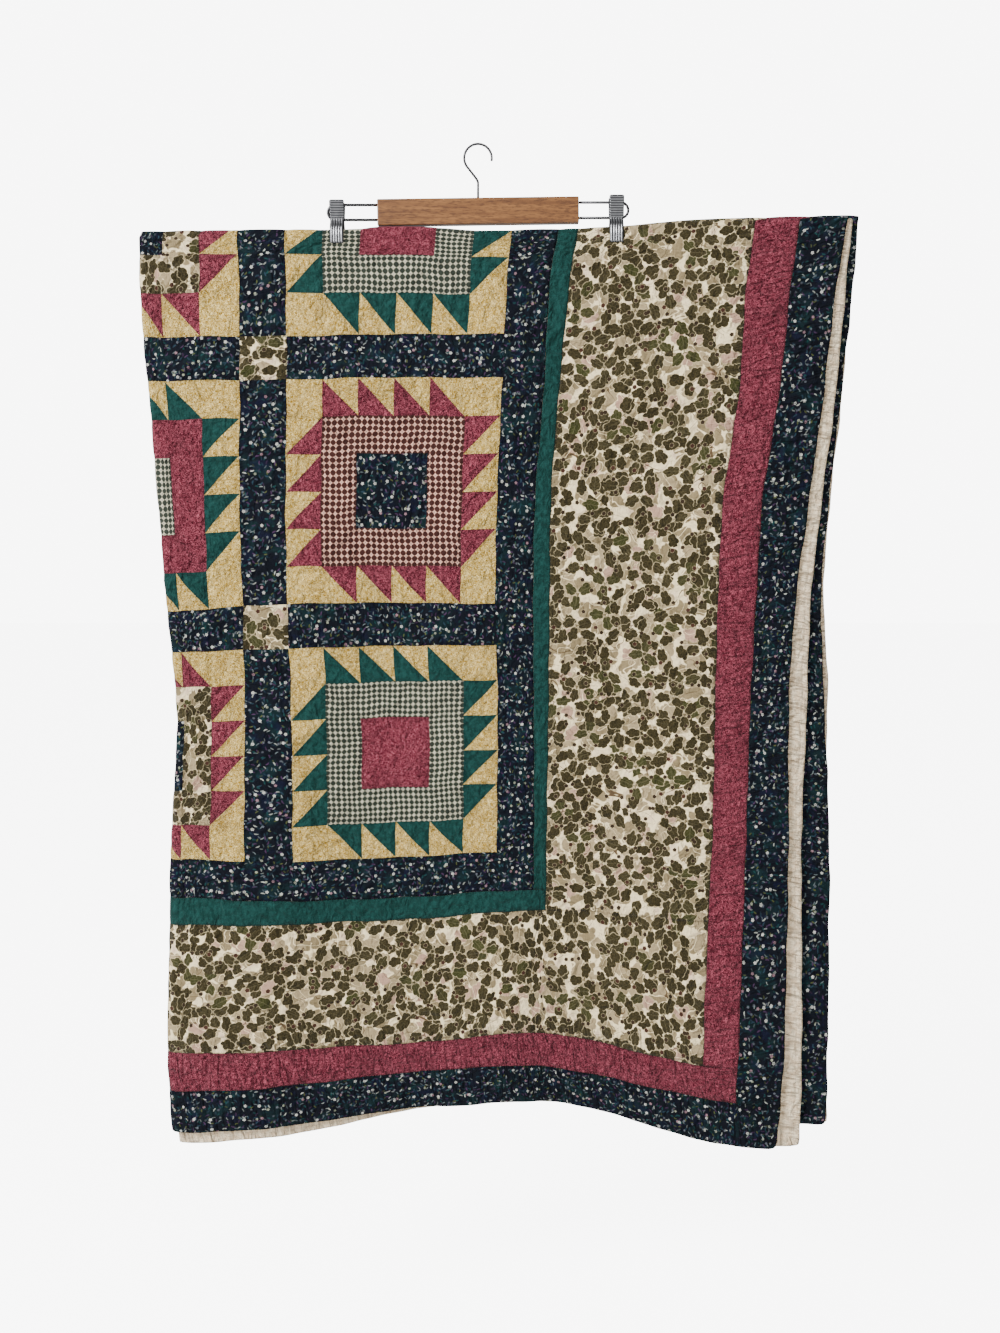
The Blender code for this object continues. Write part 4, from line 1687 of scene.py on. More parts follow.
PRINTS = {
    Cloth.NAVY: PrintColours((9, 13, 22), (190, 190, 182), (12, 36, 38), sheen=0.0),
    Cloth.TAN: PrintColours(
        (172, 137, 50), (248, 222, 150), (80, 52, 12), seam_shade=0.02, shadow=(104, 78, 40)
    ),
    Cloth.GREEN: PrintColours((22, 62, 58), (34, 80, 74), (12, 48, 44), sheen=0.03),
    Cloth.ROSE: PrintColours((76, 10, 28), (168, 84, 98), (34, 4, 10), sheen=0.03),
    Cloth.LEAF: PrintColours((250, 230, 182), (40, 35, 18), (138, 122, 90)),
    Cloth.PINK_CHECK: PrintColours((236, 184, 162), (58, 30, 26), (112, 66, 58)),
    Cloth.GREY_CHECK: PrintColours((214, 208, 180), (46, 52, 44), (96, 102, 86), pitch=7.7),
    Cloth.CREAM: PrintColours(
        (252, 232, 198),
        (255, 240, 214),
        (228, 202, 166),
        shadow=(150, 128, 104),
        drawn=15.0,
        stitched=True,
    ),
}
# Leaves of a sprig: turn in degrees, distance from the stem, half length, half width
SPRIG_LEAVES = ((8.0, 12.0, 9.4, 6.7), (128.0, 11.0, 8.2, 6.3), (236.0, 11.4, 8.7, 6.0))
# Strokes of the calico: cell, shift, half length, half width, share kept, colour
CALICO_STROKES = (
    (8.5, 3.0, 3.0, 1.1, 0.45, (34, 54, 66)),
    (9.0, 41.0, 2.6, 1.2, 0.45, (22, 58, 58)),
    (10.5, 87.0, 3.0, 1.0, 0.45, (66, 44, 72)),
    (12.0, 133.0, 2.8, 0.8, 0.5, (92, 102, 104)),
    (12.5, 171.0, 2.4, 1.0, 0.45, (72, 78, 44)),
    (14.0, 197.0, 2.5, 0.8, 0.6, (128, 134, 130)),
    (17.0, 231.0, 2.8, 0.9, 0.5, (176, 180, 170)),
)
# Blossoms of the calico: cell, shift, radius, share kept, colour, least strength
CALICO_BLOSSOMS = (
    (12.0, 301.0, 1.7, 0.42, (88, 92, 100), 0.4),
    (20.0, 257.0, 2.0, 0.2, (140, 108, 116), 0.6),
    (17.0, 281.0, 1.8, 0.24, (150, 154, 134), 0.6),
    (18.0, 211.0, 2.15, 0.46, (190, 190, 182), 0.75),
)
# Shadow leaves of the leaf print: cell, shift, half length, half width, share kept, colour
SHADOW_LEAVES = (
    (25.0, 5.0, 14.0, 9.8, 0.85, (138, 122, 90)),
    (23.0, 61.0, 12.5, 8.8, 0.5, (162, 144, 110)),
    (29.0, 95.0, 11.5, 8.6, 0.25, (178, 144, 122)),
)
# Stems of the leaf print: shift, scale, half width, colour
STEMS = ((0.0, 0.024, 0.006, (92, 74, 52)), (91.0, 0.03, 0.012, (250, 230, 182)))
# Dark leaves of the leaf print: group, its sizes, cell, shift, share kept
DARK_LEAVES = (
    ("Sprig", {"Size": 1.18}, 40.0, 113.0, 1.0),
    ("Sprig", {"Size": 1.08}, 39.0, 171.0, 0.6),
    ("Leaf", {"Long": 10.8, "Wide": 7.4, "Rim": 0.8}, 26.0, 149.0, 0.28),
)
# Berries of the leaf print: cell, shift, radius, share kept, colour
BERRIES = ((15.0, 199.0, 2.9, 0.3, (50, 38, 26)), (27.0, 263.0, 3.0, 0.25, (64, 40, 30)))


@dataclass
class Dyer:
    """Makes the cotton materials."""

    groups: GroupMaker

    def strewn(
        self, w: Wiring, flat: Term, cell: float, shift: float, keep: float, jitter: float = 0.95
    ) -> tuple[Term, Term, Term]:
        """Strews places for a motif.

        Args:
            w: wiring of the material.
            flat: flat place in millimetres.
            cell: mean distance between two motifs.
            shift: moves the whole layout.
            keep: share of the motifs kept.
            jitter: how far the motifs leave a square grid.

        Returns:
            The place as seen from its motif, 1 where the motif is kept, and a chance number.
        """
        found = self.groups.place(
            w, "Scatter", Flat=flat, Cell=cell, Shift=shift, Jitter=jitter
        )
        return found["Local"], found["Pick"] < keep, found["Tint"]

    def calico(self, w: Wiring, flat: Term, look: PrintColours) -> Term:
        """Dark ground strewn with a few pale blossoms and many dim strokes.

        Args:
            w: wiring of the material.
            flat: flat place in millimetres.
            look: colours of the print.

        Returns:
            The colour.
        """
        patchy = w.noise(flat, 0.035, 2.0)[0]
        other = w.noise(w.vector("ADD", flat, (211.0, 57.0, 0.0)), 0.05, 2.0)[0]
        colour = w.mix(w.step(patchy, 0.5, 0.7) * 0.7, linear(*look.ground), linear(*look.accent))
        colour = w.mix(w.step(other, 0.54, 0.72) * 0.5, colour, linear(14, 18, 44))
        for cell, shift, long, wide, keep, tint in CALICO_STROKES:
            local, kept, chance = self.strewn(w, flat, cell, shift, keep)
            mark = self.groups.place(w, "Stroke", Local=local, Long=long, Wide=wide, Bend=0.07)
            faint = w.math("MULTIPLY_ADD", chance, 0.7, 0.3)
            colour = w.mix(mark["Mask"] * kept * faint, colour, linear(*tint))
        for cell, shift, radius, keep, tint, least in CALICO_BLOSSOMS:
            local, kept, chance = self.strewn(w, flat, cell, shift, keep)
            bloom = self.groups.place(
                w, "Blossom", Local=local, Radius=radius, Petals=5.0, Notch=0.14
            )
            faint = w.math("MULTIPLY_ADD", chance, 1.0 - least, least)
            colour = w.mix(bloom["Mask"] * kept * faint, colour, linear(*tint))
            eye = bloom["Eye"] * kept * (chance < 0.45)
            colour = w.mix(eye * 0.7, colour, linear(74, 78, 82))
        return colour

    def leaves(self, w: Wiring, flat: Term, look: PrintColours) -> Term:
        """Pale ground with shadow leaves, stems, dark lobed leaves and berries.

        Args:
            w: wiring of the material.
            flat: flat place in millimetres.
            look: colours of the print.

        Returns:
            The colour.
        """
        bent = w.noise(flat, 0.11, 1.0)[1]
        warped = w.vector("ADD", flat, w.vector("SCALE", bent, scale=3.0))
        pale = linear(*look.ground)
        soft = w.noise(flat, 0.06, 2.0)[0]
        colour = w.mix(w.step(soft, 0.5, 0.75), pale, linear(226, 200, 168))
        for cell, shift, long, wide, keep, tint in SHADOW_LEAVES:
            local, kept, _ = self.strewn(w, warped, cell, shift, keep, 0.8)
            shade = self.groups.place(w, "Leaf", Local=local, Long=long, Wide=wide, Rim=1.0)
            colour = w.mix(shade["Halo"] * kept * 0.3, colour, pale)
            colour = w.mix(shade["Mask"] * kept, colour, linear(*tint))
        for shift, scale, wide, tint in STEMS:
            moved = w.vector("ADD", flat, (shift, shift, 0.0))
            wander = w.noise(moved, scale, 1.0, 0.4, 0.8)[0]
            colour = w.mix(w.step(abs(wander - 0.5), wide, wide * 0.5), colour, linear(*tint))
        grain = w.noise(flat, 0.45, 2.0)[0]
        dark = w.mix(w.step(grain, 0.35, 0.7), linear(*look.motif), linear(62, 54, 31))
        for group, sizes, cell, shift, keep in DARK_LEAVES:
            local, kept, chance = self.strewn(w, warped, cell, shift, keep, 0.62)
            blade = self.groups.place(w, group, Local=local, **sizes)
            green = w.mix(w.step(chance, 0.8, 1.0), dark, linear(52, 54, 24))
            colour = w.mix(blade["Halo"] * kept * 0.35, colour, pale)
            shown = blade["Mask"] * kept
            colour = w.mix(shown, colour, green)
            vein = blade["Vein"] * shown * chance
            colour = w.mix(vein * 0.3, colour, linear(120, 112, 84))
        for cell, shift, radius, keep, tint in BERRIES:
            local, kept, _ = self.strewn(w, flat, cell, shift, keep)
            rim = self.groups.place(w, "Blossom", Local=local, Radius=radius + 0.5, Notch=0.0)
            berry = self.groups.place(w, "Blossom", Local=local, Radius=radius, Notch=0.08)
            colour = w.mix(rim["Mask"] * kept * 0.25, colour, pale)
            colour = w.mix(berry["Mask"] * kept, colour, linear(*tint))
        return colour

    def check(self, w: Wiring, flat: Term, look: PrintColours) -> Term:
        """Rows of dark rounded diamonds joined by thin lines, with pin dots between.

        Args:
            w: wiring of the material.
            flat: flat place in millimetres.
            look: colours and pitch of the print.

        Returns:
            The colour.
        """
        wobble = w.vector("SUBTRACT", w.noise(flat, 0.03, 1.0)[1], (0.5, 0.5, 0.5))
        x, y, _ = w.split(w.vector("ADD", flat, w.vector("SCALE", wobble, scale=4.0)))
        dimmer = linear(*[value * 0.9 for value in look.ground])
        around = w.noise(flat, 0.12, 2.0)[0]
        colour = w.mix(w.step(around, 0.35, 0.7), linear(*look.ground), dimmer)
        bars = [w.math("FRACT", value / look.pitch) - 0.5 for value in (x, y)]
        joints = w.math("MAXIMUM", *[w.step(abs(value), 0.16, 0.08) for value in bars])
        colour = w.mix(joints * 0.8, colour, linear(*look.accent))
        dots = []
        for shift, size in ((0.0, 0.45), (0.5, 0.09)):
            far = [
                abs(w.math("FRACT", value / look.pitch + shift) - 0.5) ** 2.3 for value in (x, y)
            ]
            dots.append(w.step(far[0] + far[1], size ** 2.3 * 1.35, size ** 2.3 * 0.7))
        colour = w.mix(dots[0], colour, linear(*look.motif))
        return w.mix(dots[1] * 0.8, colour, linear(*look.motif))

    def scribble(self, w: Wiring, flat: Term, look: PrintColours) -> Term:
        """Ground covered by fine light and dark squiggles.

        Args:
            w: wiring of the material.
            flat: flat place in millimetres.
            look: colours of the print.

        Returns:
            The colour.
        """
        one = w.noise(flat, 0.38, 2.0, 0.5, 1.2)[0]
        two = w.noise(w.vector("ADD", flat, (331.0, 97.0, 0.0)), 0.42, 2.0, 0.5, 1.2)[0]
        broad = w.noise(flat, 0.02, 2.0)[0]
        colour = linear(*look.ground)
        for squiggle, tint in ((two, look.accent), (one, look.motif)):
            shown = w.step(abs(squiggle - 0.5), 0.07, 0.02) * 0.9
            colour = w.mix(shown, colour, linear(*tint))
        return w.mix(w.step(broad, 0.45, 0.8) * 0.25, colour, linear(*look.accent))

    def plain(self, w: Wiring, flat: Term, look: PrintColours) -> Term:
        """Nearly plain ground with soft patches.

        Args:
            w: wiring of the material.
            flat: flat place in millimetres.
            look: colours of the cloth.

        Returns:
            The colour.
        """
        soft = w.noise(flat, 0.12, 3.0, 0.6)[0]
        colour = w.mix(w.step(soft, 0.35, 0.65), linear(*look.ground), linear(*look.accent))
        fine = w.noise(flat, 0.7, 2.0)[0]
        return w.mix(w.step(fine, 0.5, 0.75) * 0.35, colour, linear(*look.motif))

    def cotton(self, cloth: Cloth) -> bpy.types.Material:
        """Makes one cotton: its print, weave, puckers, soft sheen, and painted shade by the seams
        and in crease valleys.

        Args:
            cloth: the cotton.

        Returns:
            Its material.
        """
        look = PRINTS[cloth]
        material = bpy.data.materials.new(cloth.value)
        material.use_nodes = True
        shader = material.node_tree.nodes["Principled BSDF"]
        w = Wiring(material.node_tree)
        uv = w.out(w.add("ShaderNodeUVMap", uv_map="Flat"), "UV")
        flat = w.vector("SCALE", uv, scale=1000.0)
        maker: Callable[[Wiring, Term, PrintColours], Term] = {
            Cloth.NAVY: self.calico,
            Cloth.LEAF: self.leaves,
            Cloth.PINK_CHECK: self.check,
            Cloth.GREY_CHECK: self.check,
            Cloth.ROSE: self.scribble,
            Cloth.TAN: self.scribble,
        }.get(cloth, self.plain)
        colour = maker(w, flat, look)
        woven = self.groups.place(w, "Weave", Flat=flat, Pitch=0.55, Slub=0.35)
        shade = 1.0 + woven["Shade"]
        colour = w.mix(1.0, colour, w.combine(shade, shade, shade), "MULTIPLY")
        near = w.out(w.add("ShaderNodeAttribute", attribute_name="seam"), "Fac") * 1000.0
        # Painted shade: the cloth darkens towards near-black within 2 mm of a seam, where the
        # seam's groove lies.
        colour = w.mix(w.step(near, 2.0, 0.0) * look.seam_shade, colour, linear(24, 20, 20))
        crinkled = self.groups.place(w, "Crinkle", Flat=flat, Seam=near, Strength=2.0)
        puckered = self.groups.place(w, "Pucker", Flat=flat)
        # Painted shade: the valleys of the crinkles and puckers are darkened towards the cloth's
        # shadow colour.
        valley_shade = w.math("MAXIMUM", crinkled["Valley"], puckered["Valley"])
        colour = w.mix(valley_shade * 0.22, colour, linear(*look.shadow))
        height = w.math("MULTIPLY_ADD", woven["Height"], 0.06, crinkled["Height"])
        height = w.math("MULTIPLY_ADD", puckered["Height"], look.drawn, height)
        if look.stitched:
            sewn = self.groups.place(w, "Stitching", Flat=flat)
            colour = w.mix(sewn["Mask"] * 0.5, colour, linear(176, 152, 128))
            height = height - sewn["Dimple"] * 0.4
        w.put(
            shader,
            Base_Color=colour,
            Roughness=look.roughness,
            Normal=w.bump(height, 1.0, 0.0018),
            Sheen_Weight=look.sheen,
            Sheen_Roughness=0.5,
            Specular_IOR_Level=0.12,
        )
        return material

    def all_cottons(self) -> dict[Cloth, bpy.types.Material]:
        """Every cotton by its name."""
        return {cloth: self.cotton(cloth) for cloth in Cloth}


@dataclass
class Quilt:
    """Backing, pieced panel and sixteen border strips."""

    builder: SheetBuilder
    strip_pitch: float = 7.0
    back_pitch: float = 10.0

    def regions(self) -> list[tuple[Region, tuple[float, ...]]]:
        """Lists the rectangles of the quilt.

        Returns:
            Each rectangle with how far its sides are drawn in at the seams.
        """
        gap = SEAM_GAP / 2
        inner_u, inner_v = U_PANEL, V_PANEL
        backing = Region("backing", -U_EDGE, U_EDGE, -V_EDGE, V_EDGE, Cloth.CREAM)
        panel = Region("centre_panel", -inner_u, inner_u, -inner_v, inner_v, Cloth.NAVY)
        found = [(backing, (0.0,) * 4), (panel, (gap,) * 4)]
        for name, u, v, cloth in (
            ("green", U_GREEN, V_GREEN, Cloth.GREEN),
            ("leaf", U_LEAF, V_LEAF, Cloth.LEAF),
            ("rose", U_ROSE, V_ROSE, Cloth.ROSE),
            ("navy", U_EDGE, V_EDGE, Cloth.NAVY),
        ):
            rim = 0.0 if name == "navy" else gap
            for side, box, inwards in (
                ("left", (-u, -inner_u, -inner_v, inner_v), (rim, gap, gap, gap)),
                ("right", (inner_u, u, -inner_v, inner_v), (gap, rim, gap, gap)),
                ("lower", (-u, u, -v, -inner_v), (rim, rim, rim, gap)),
                ("upper", (-u, u, inner_v, v), (rim, rim, gap, rim)),
            ):
                found.append((Region(f"{name}_border_{side}", *box, cloth), inwards))
            inner_u, inner_v = u, v
        return found

    def grid(self, region: Region) -> tuple[list[float], list[float]]:
        """Grid lines of a rectangle.

        Args:
            region: the rectangle.

        Returns:
            Lines across and lines up.
        """
        if region.pieced:
            return panel_lines(U_PANEL, FOLD_ZONE_U), panel_lines(V_PANEL, FOLD_ZONE_V)
        pitch = self.back_pitch if region.cloth is Cloth.CREAM else self.strip_pitch
        return (
            strip_lines(region.u0, region.u1, pitch, FOLD_ZONE_U),
            strip_lines(region.v0, region.v1, pitch, FOLD_ZONE_V),
        )

    def build(self) -> None:
        """Builds every sheet, attaches it to the body and hides its CAD node."""
        for region, inwards in self.regions():
            obj = self.builder.build(region, *self.grid(region), inwards)
            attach(obj, BODY)
            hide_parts(region.name)
            (region.u1 - region.u0) * MM
            (region.v1 - region.v0) * MM
            LOG.info("%s: %d faces", obj.name, len(obj.data.polygons))


class ClipPlace(NamedTuple):
    """One clip on its wire loop: middle X, heights, and the loop's outer end."""

    middle: float
    top: float
    tip: float
    wire_high: float
    wire_low: float
    loop_end: float
    bar_end: float


CLIP_PLACES = {
    "left": ClipPlace(-189.6, -73.0, -130.5, -78.1, -97.7, -202.2, -135.5),
    "right": ClipPlace(186.1, -66.6, -129.2, -74.8, -95.1, 202.2, 135.5),
}


def rounded(points: Numbers, times: int) -> Numbers:
    """Cuts the corners of a line of points, its ends kept.

    Args:
        points: places along the line, one row each.
        times: how often each corner is cut.

    Returns:
        The smoother line.
    """
    for _ in range(times):
        starts, ends = points[:-1], points[1:]
        inner = np.stack([starts * 0.75 + ends * 0.25, starts * 0.25 + ends * 0.75], axis=1)
        points = np.vstack([points[:1], inner.reshape(-1, points.shape[1])[1:-1], points[-1:]])
    return points


def arc(
    centre: tuple[float, float], radius: float, start: float, end: float, steps: int
) -> Numbers:
    """Points on an arc in the X and Z plane, in millimetres.

    Args:
        centre: X and Z of its centre.
        radius: its radius.
        start: first angle in degrees from +X.
        end: last angle.
        steps: steps along it.

    Returns:
        Its points, one row each.
    """
    turns = np.radians(np.linspace(start, end, steps + 1))
    x, z = centre[0] + radius * np.cos(turns), centre[1] + radius * np.sin(turns)
    return np.column_stack([x, np.zeros_like(turns), z])


def unit_ways(line: Numbers) -> Numbers:
    """Direction of a line of points at each of them."""
    ways = np.gradient(line, axis=0)
    return ways / np.linalg.norm(ways, axis=1)[:, None]


@dataclass
class WireMaker:
    """Round wires swept along smooth lines."""

    sides: int = 14
    end_radius: float = 0.6
    end_inset: float = 0.25

    def rings(self, path: Numbers, radius: float) -> Numbers:
        """Rings of points square to a path.

        Args:
            path: middle line in millimetres.
            radius: radius of the wire.

        Returns:
            Points by step, side and axis.
        """
        ways = unit_ways(path)
        normal = np.array([0.0, 1.0, 0.0]) if abs(ways[0, 1]) < 0.9 else np.array([1.0, 0.0, 0.0])
        turns = np.linspace(0.0, math.tau, self.sides, endpoint=False)[:, None]
        found = []
        for place, way in zip(path, ways):
            normal = normal - way * np.dot(normal, way)
            normal /= np.linalg.norm(normal)
            other = np.cross(way, normal)
            ring = normal[None, :] * np.cos(turns) + other[None, :] * np.sin(turns)
            found.append(place[None, :] + radius * ring)
        return np.array(found)

    def build(self, name: str, path: Numbers, radius: float) -> bpy.types.Object:
        """Makes one closed wire with softly rounded ends.

        Args:
            name: name of the piece.
            path: middle line in millimetres.
            radius: radius of the wire.

        Returns:
            The new object.
        """
        rings = self.rings(path, radius)
        caps = [path[k] + (rings[k] - path[k]) * self.end_radius for k in (0, -1)]
        for k, way in ((0, path[1] - path[0]), (-1, path[-2] - path[-1])):
            rings[k] += way / np.linalg.norm(way) * self.end_inset * radius
        rings = np.concatenate([caps[0][None], rings, caps[1][None]])
        count, sides = len(rings), self.sides
        faces = []
        for start in range(0, (count - 1) * sides, sides):
            for j in range(sides):
                k = (j + 1) % sides
                faces.append([start + j, start + k, start + sides + k, start + sides + j])
        faces.append(list(range(sides))[::-1])
        faces.append([(count - 1) * sides + j for j in range(sides)])
        mesh = bpy.data.meshes.new(name)
        mesh.from_pydata((rings.reshape(-1, 3) * MM).tolist(), [], faces)
        return new_piece(name, mesh)


@dataclass
class JawMaker:
    """Pressed jaws of the clips: ribs across the finger end, flutes down the grip."""

    half_width: float = 10.0
    grip_narrower: float = 0.7
    plate: float = 1.2
    relief: float = 0.55
    rib_pitch: float = 3.1
    flute_pitch: float = 3.4
    corner: float = 2.2
    opened: float = 10.4
    finger_reach: float = 8.0
    waist: float = 2.9
    columns: int = 49
    rows: int = 104

    def profile(self, clip: ClipPlace, side: float) -> Numbers:
        """Y and Z of one jaw from its finger end down to its tip, evenly spaced.

        Args:
            clip: the clip.
            side: -1 in front, 1 behind.

        Returns:
            One row for each step down.
        """
        corners = np.array(
            [
                (side * self.finger_reach, clip.top),
                (side * self.finger_reach, clip.top - 4.0),
                (side * self.waist, clip.wire_low + 3.0),
                (side * self.waist, clip.wire_low - 3.0),
                (side * self.opened, clip.wire_low - 12.0),
                (side * self.opened, clip.tip),
            ]
        )
        line = rounded(corners, 2)
        run = np.concatenate([[0.0], np.cumsum(np.linalg.norm(np.diff(line, axis=0), axis=1))])
        even = np.linspace(0.0, run[-1], self.rows)
        return np.column_stack([np.interp(even, run, line[:, 0]), np.interp(even, run, line[:, 1])])

    def build(self, name: str, clip: ClipPlace, side: float) -> bpy.types.Object:
        """Makes one jaw.

        Args:
            name: name of the piece.
            clip: the clip.
            side: -1 in front, 1 behind.

        Returns:
            The new object, with its hollows and inner face marked for the metal's painted shade.
        """
        line = self.profile(clip, side)
        ways = unit_ways(line)
        normals = np.column_stack([-ways[:, 1], ways[:, 0]])
        normals *= np.sign(normals[:, :1] * side + 1e-9)
        z = line[:, 1:]
        from_end = np.minimum(clip.top - z, z - clip.tip)
        into_corner = (1.0 - from_end / self.corner).clip(0, 1)
        cut = self.corner * (1.0 - np.sqrt(1.0 - into_corner ** 2))
        finger = smooth_step((z - (clip.wire_low - 4.0)) / 8.0)
        half = self.half_width - self.grip_narrower * (1.0 - finger) - cut
        x = half * np.linspace(-1.0, 1.0, self.columns)[None, :]
        ribs = 0.5 + 0.5 * np.sin(math.tau * (z - clip.top) / self.rib_pitch)
        flutes = 0.5 + 0.5 * np.cos(math.tau * x / self.flute_pitch)
        wave = ribs * finger + flutes * (1.0 - finger)
        rim = smooth_step((half - np.abs(x)) / 1.4) * smooth_step(from_end / 1.6)
        band = smooth_step(np.abs(z - (clip.wire_low - 8.0)) / 3.0)
        out = self.plate + self.relief * wave * rim * band - 0.5 * (1.0 - rim)
        layers = [
            np.stack(
                [
                    clip.middle + x,
                    line[:, :1] + normals[:, :1] * height,
                    z + normals[:, 1:] * height,
                ],
                axis=2,
            ).reshape(-1, 3)
            for height in (out, 0.0 * x)
        ]
        mesh = bpy.data.meshes.new(name)
        mesh.from_pydata((np.concatenate(layers) * MM).tolist(), [], self.faces())
        # Marks where the metal paints shade: high in the hollows between ribs and flutes and along
        # the plate's edge, 0.7 on the inner face
        hollow_shade = mesh.attributes.new("hollow_shade", "FLOAT", "POINT")
        marks = np.concatenate([(1.0 - wave * rim).ravel(), np.full(x.size, 0.7)])
        hollow_shade.data.foreach_set("value", marks.astype(np.float32))
        grid = bmesh.new()
        grid.from_mesh(mesh)
        bmesh.ops.recalc_face_normals(grid, faces=grid.faces)
        grid.to_mesh(mesh)
        grid.free()
        return new_piece(name, mesh)

    def faces(self) -> list[list[int]]:
        """Joins the points of a jaw's two sides.

        Returns:
            Faces of both sides and of the rim between them.
        """
        rows, columns = self.rows, self.columns
        count = rows * columns
        faces = []
        for i in range(rows - 1):
            for k in range(i * columns, i * columns + columns - 1):
                quad = [k, k + 1, k + columns + 1, k + columns]
                faces += [quad, [count + n for n in quad[::-1]]]
        rim = list(range(columns))
        rim += [i * columns + columns - 1 for i in range(1, rows)]
        rim += [(rows - 1) * columns + j for j in range(columns - 2, -1, -1)]
        rim += [i * columns for i in range(rows - 2, 0, -1)]
        return faces + [[b, a, count + a, count + b] for a, b in zip(rim, rim[1:] + rim[:1])]


@dataclass
class Hanger:
    """Wooden bar, hook wire, wire loops, clips and springs."""

    frame: dict
    hook_wire: float = 3.3
    hook_radius: float = 18.5
    loop_wire: float = 3.7
    coil_wire: float = 1.0
    coil_radius: float = 2.3
    coil_turns: int = 4
    coil_length: float = 8.0
    coil_inwards: float = 2.5

    def wood(self) -> bpy.types.Material:
        """Makes the varnished mid-brown wood with long grain.

        Returns:
            The material.
        """
        material = bpy.data.materials.new("bar_wood")
        material.use_nodes = True
        w = Wiring(material.node_tree)
        place = w.out(w.add("ShaderNodeTexCoord"), "Object")
        long = w.vector("MULTIPLY", place, (9.0, 160.0, 160.0))
        grain = w.noise(long, 1.0, 4.0, 0.6, 0.3, "3D")[0]
        close = w.vector("MULTIPLY", place, (110.0, 620.0, 620.0))
        fine = w.noise(close, 1.0, 2.0, 0.6, kind="3D")[0]
        colour = w.mix(w.step(grain, 0.3, 0.72), linear(138, 92, 49), linear(98, 60, 29))
        w.put(
            material.node_tree.nodes["Principled BSDF"],
            Base_Color=w.mix(w.step(fine, 0.44, 0.68) * 0.7, colour, linear(66, 36, 16)),
            Roughness=0.42,
            Coat_Weight=0.15,
            Normal=w.bump(fine, 0.25, 0.0004),
        )
        return material

    def metal(
        self, name: str, shade: tuple[float, float, float], rough: float
    ) -> bpy.types.Material:
        """Makes plated metal with slight smears, with painted shade darkening its hollows and the
        jaws' inner faces.

        Args:
            name: name of the material.
            shade: its colour as sRGB from 0 to 255.
            rough: its roughness.

        Returns:
            The material.
        """
        material = bpy.data.materials.new(name)
        material.use_nodes = True
        w = Wiring(material.node_tree)
        place = w.out(w.add("ShaderNodeTexCoord"), "Object")
        smear = w.noise(place, 90.0, 3.0, 0.6, kind="3D")[0]
        duller = linear(*[value * 0.82 for value in shade])
        colour = w.mix(w.step(smear, 0.35, 0.75), linear(*shade), duller)
        # Painted shade: where the jaws mark hollows and inner faces, the metal darkens nearly to
        # black
        hollow_shade = w.out(w.add("ShaderNodeAttribute", attribute_name="hollow_shade"), "Fac")
        w.put(
            material.node_tree.nodes["Principled BSDF"],
            Base_Color=w.mix(w.step(hollow_shade, 0.35, 0.95) * 0.9, colour, linear(26, 26, 28)),
            Roughness=w.math("MULTIPLY_ADD", smear, 0.2, rough - 0.08),
            Metallic=1.0,
        )
        return material

    def stand_in(
        self, obj: bpy.types.Object, node: str, finish: bpy.types.Material
    ) -> None:
        """Gives a new piece its finish and lets it stand for a CAD node.

        Args:
            obj: the new piece.
            node: the CAD node that it stands for.
            finish: its material.
        """
        obj.data.materials.append(finish)
        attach(obj, BODY)
        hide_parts(node)
        LOG.info("%s: %s", obj.name, finish.name)

    def hook_path(self) -> Numbers:
        """Middle line of the hook wire.

        Returns:
            Its points in millimetres, from the bar up and round.
        """
        centre = (0.0, self.hook_wire / 2 - self.hook_radius)
        turn = arc(centre, self.hook_radius, 222.0, -12.0, 60)
        stem = np.array([(0.0, 0.0, z) for z in (-69.5, -60.0, -52.0, -46.5)])
        neck = turn[0] * 0.6 + stem[-1] * 0.4
        bend = rounded(np.vstack([stem[2:], neck[None], turn[:1]]), 3)
        return np.vstack([stem[:2], bend, turn[1:]])

    def loop_path(self, clip: ClipPlace) -> Numbers:
        """Middle line of the wire loop that carries one clip.

        Args:
            clip: the clip.

        Returns:
            Its points in millimetres.
        """
        side = math.copysign(1.0, clip.loop_end)
        start = clip.bar_end + side * SEAM_GAP
        radius = (clip.wire_high - clip.wire_low) / 2
        turn = arc((0.0, (clip.wire_high + clip.wire_low) / 2), radius, 90.0, -90.0, 24)
        turn[:, 0] = clip.loop_end - side * radius + side * turn[:, 0]
        ends = np.array([(start, 0.0, clip.wire_high), (start, 0.0, clip.wire_low)])
        return np.vstack([ends[:1], turn, ends[1:]])

    def coil_path(self, clip: ClipPlace) -> Numbers:
        """Middle line of the spring round the lower wire.

        Args:
            clip: the clip.

        Returns:
            Its points in millimetres.
        """
        steps = np.linspace(0.0, 1.0, self.coil_turns * 24 + 1)
        turns = math.tau * self.coil_turns * steps
        middle = clip.middle - math.copysign(self.coil_inwards, clip.middle)
        return np.column_stack(
            [
                middle + self.coil_length * (steps - 0.5),
                self.coil_radius * np.cos(turns),
                clip.wire_low + self.coil_radius * np.sin(turns),
            ]
        )

    def build(self) -> None:
        """Dresses the bar and builds the wires, jaws and springs."""
        chrome = self.metal("clip_chrome", (146, 147, 150), 0.32)
        wire = self.metal("wire_steel", (84, 84, 86), 0.4)
        bar = self.frame["nodes"]["bar"]
        bar.data.materials.clear()
        bar.data.materials.append(self.wood())
        wires, jaws = WireMaker(), JawMaker()
        hook = wires.build("hook_wire", self.hook_path(), self.hook_wire / 2)
        self.stand_in(hook, "hook", wire)
        for side, clip in CLIP_PLACES.items():
            loop = wires.build("loop_" + side, self.loop_path(clip), self.loop_wire / 2)
            self.stand_in(loop, "wire_" + side, wire)
            coil = wires.build("coil_" + side, self.coil_path(clip), self.coil_wire / 2)
            self.stand_in(coil, "spring_" + side, wire)
            for where, sign in (("front", -1.0), ("back", 1.0)):
                jaw = jaws.build(f"jaw_{side}_{where}", clip, sign)
                self.stand_in(jaw, f"clip_{side}_{where}", chrome)


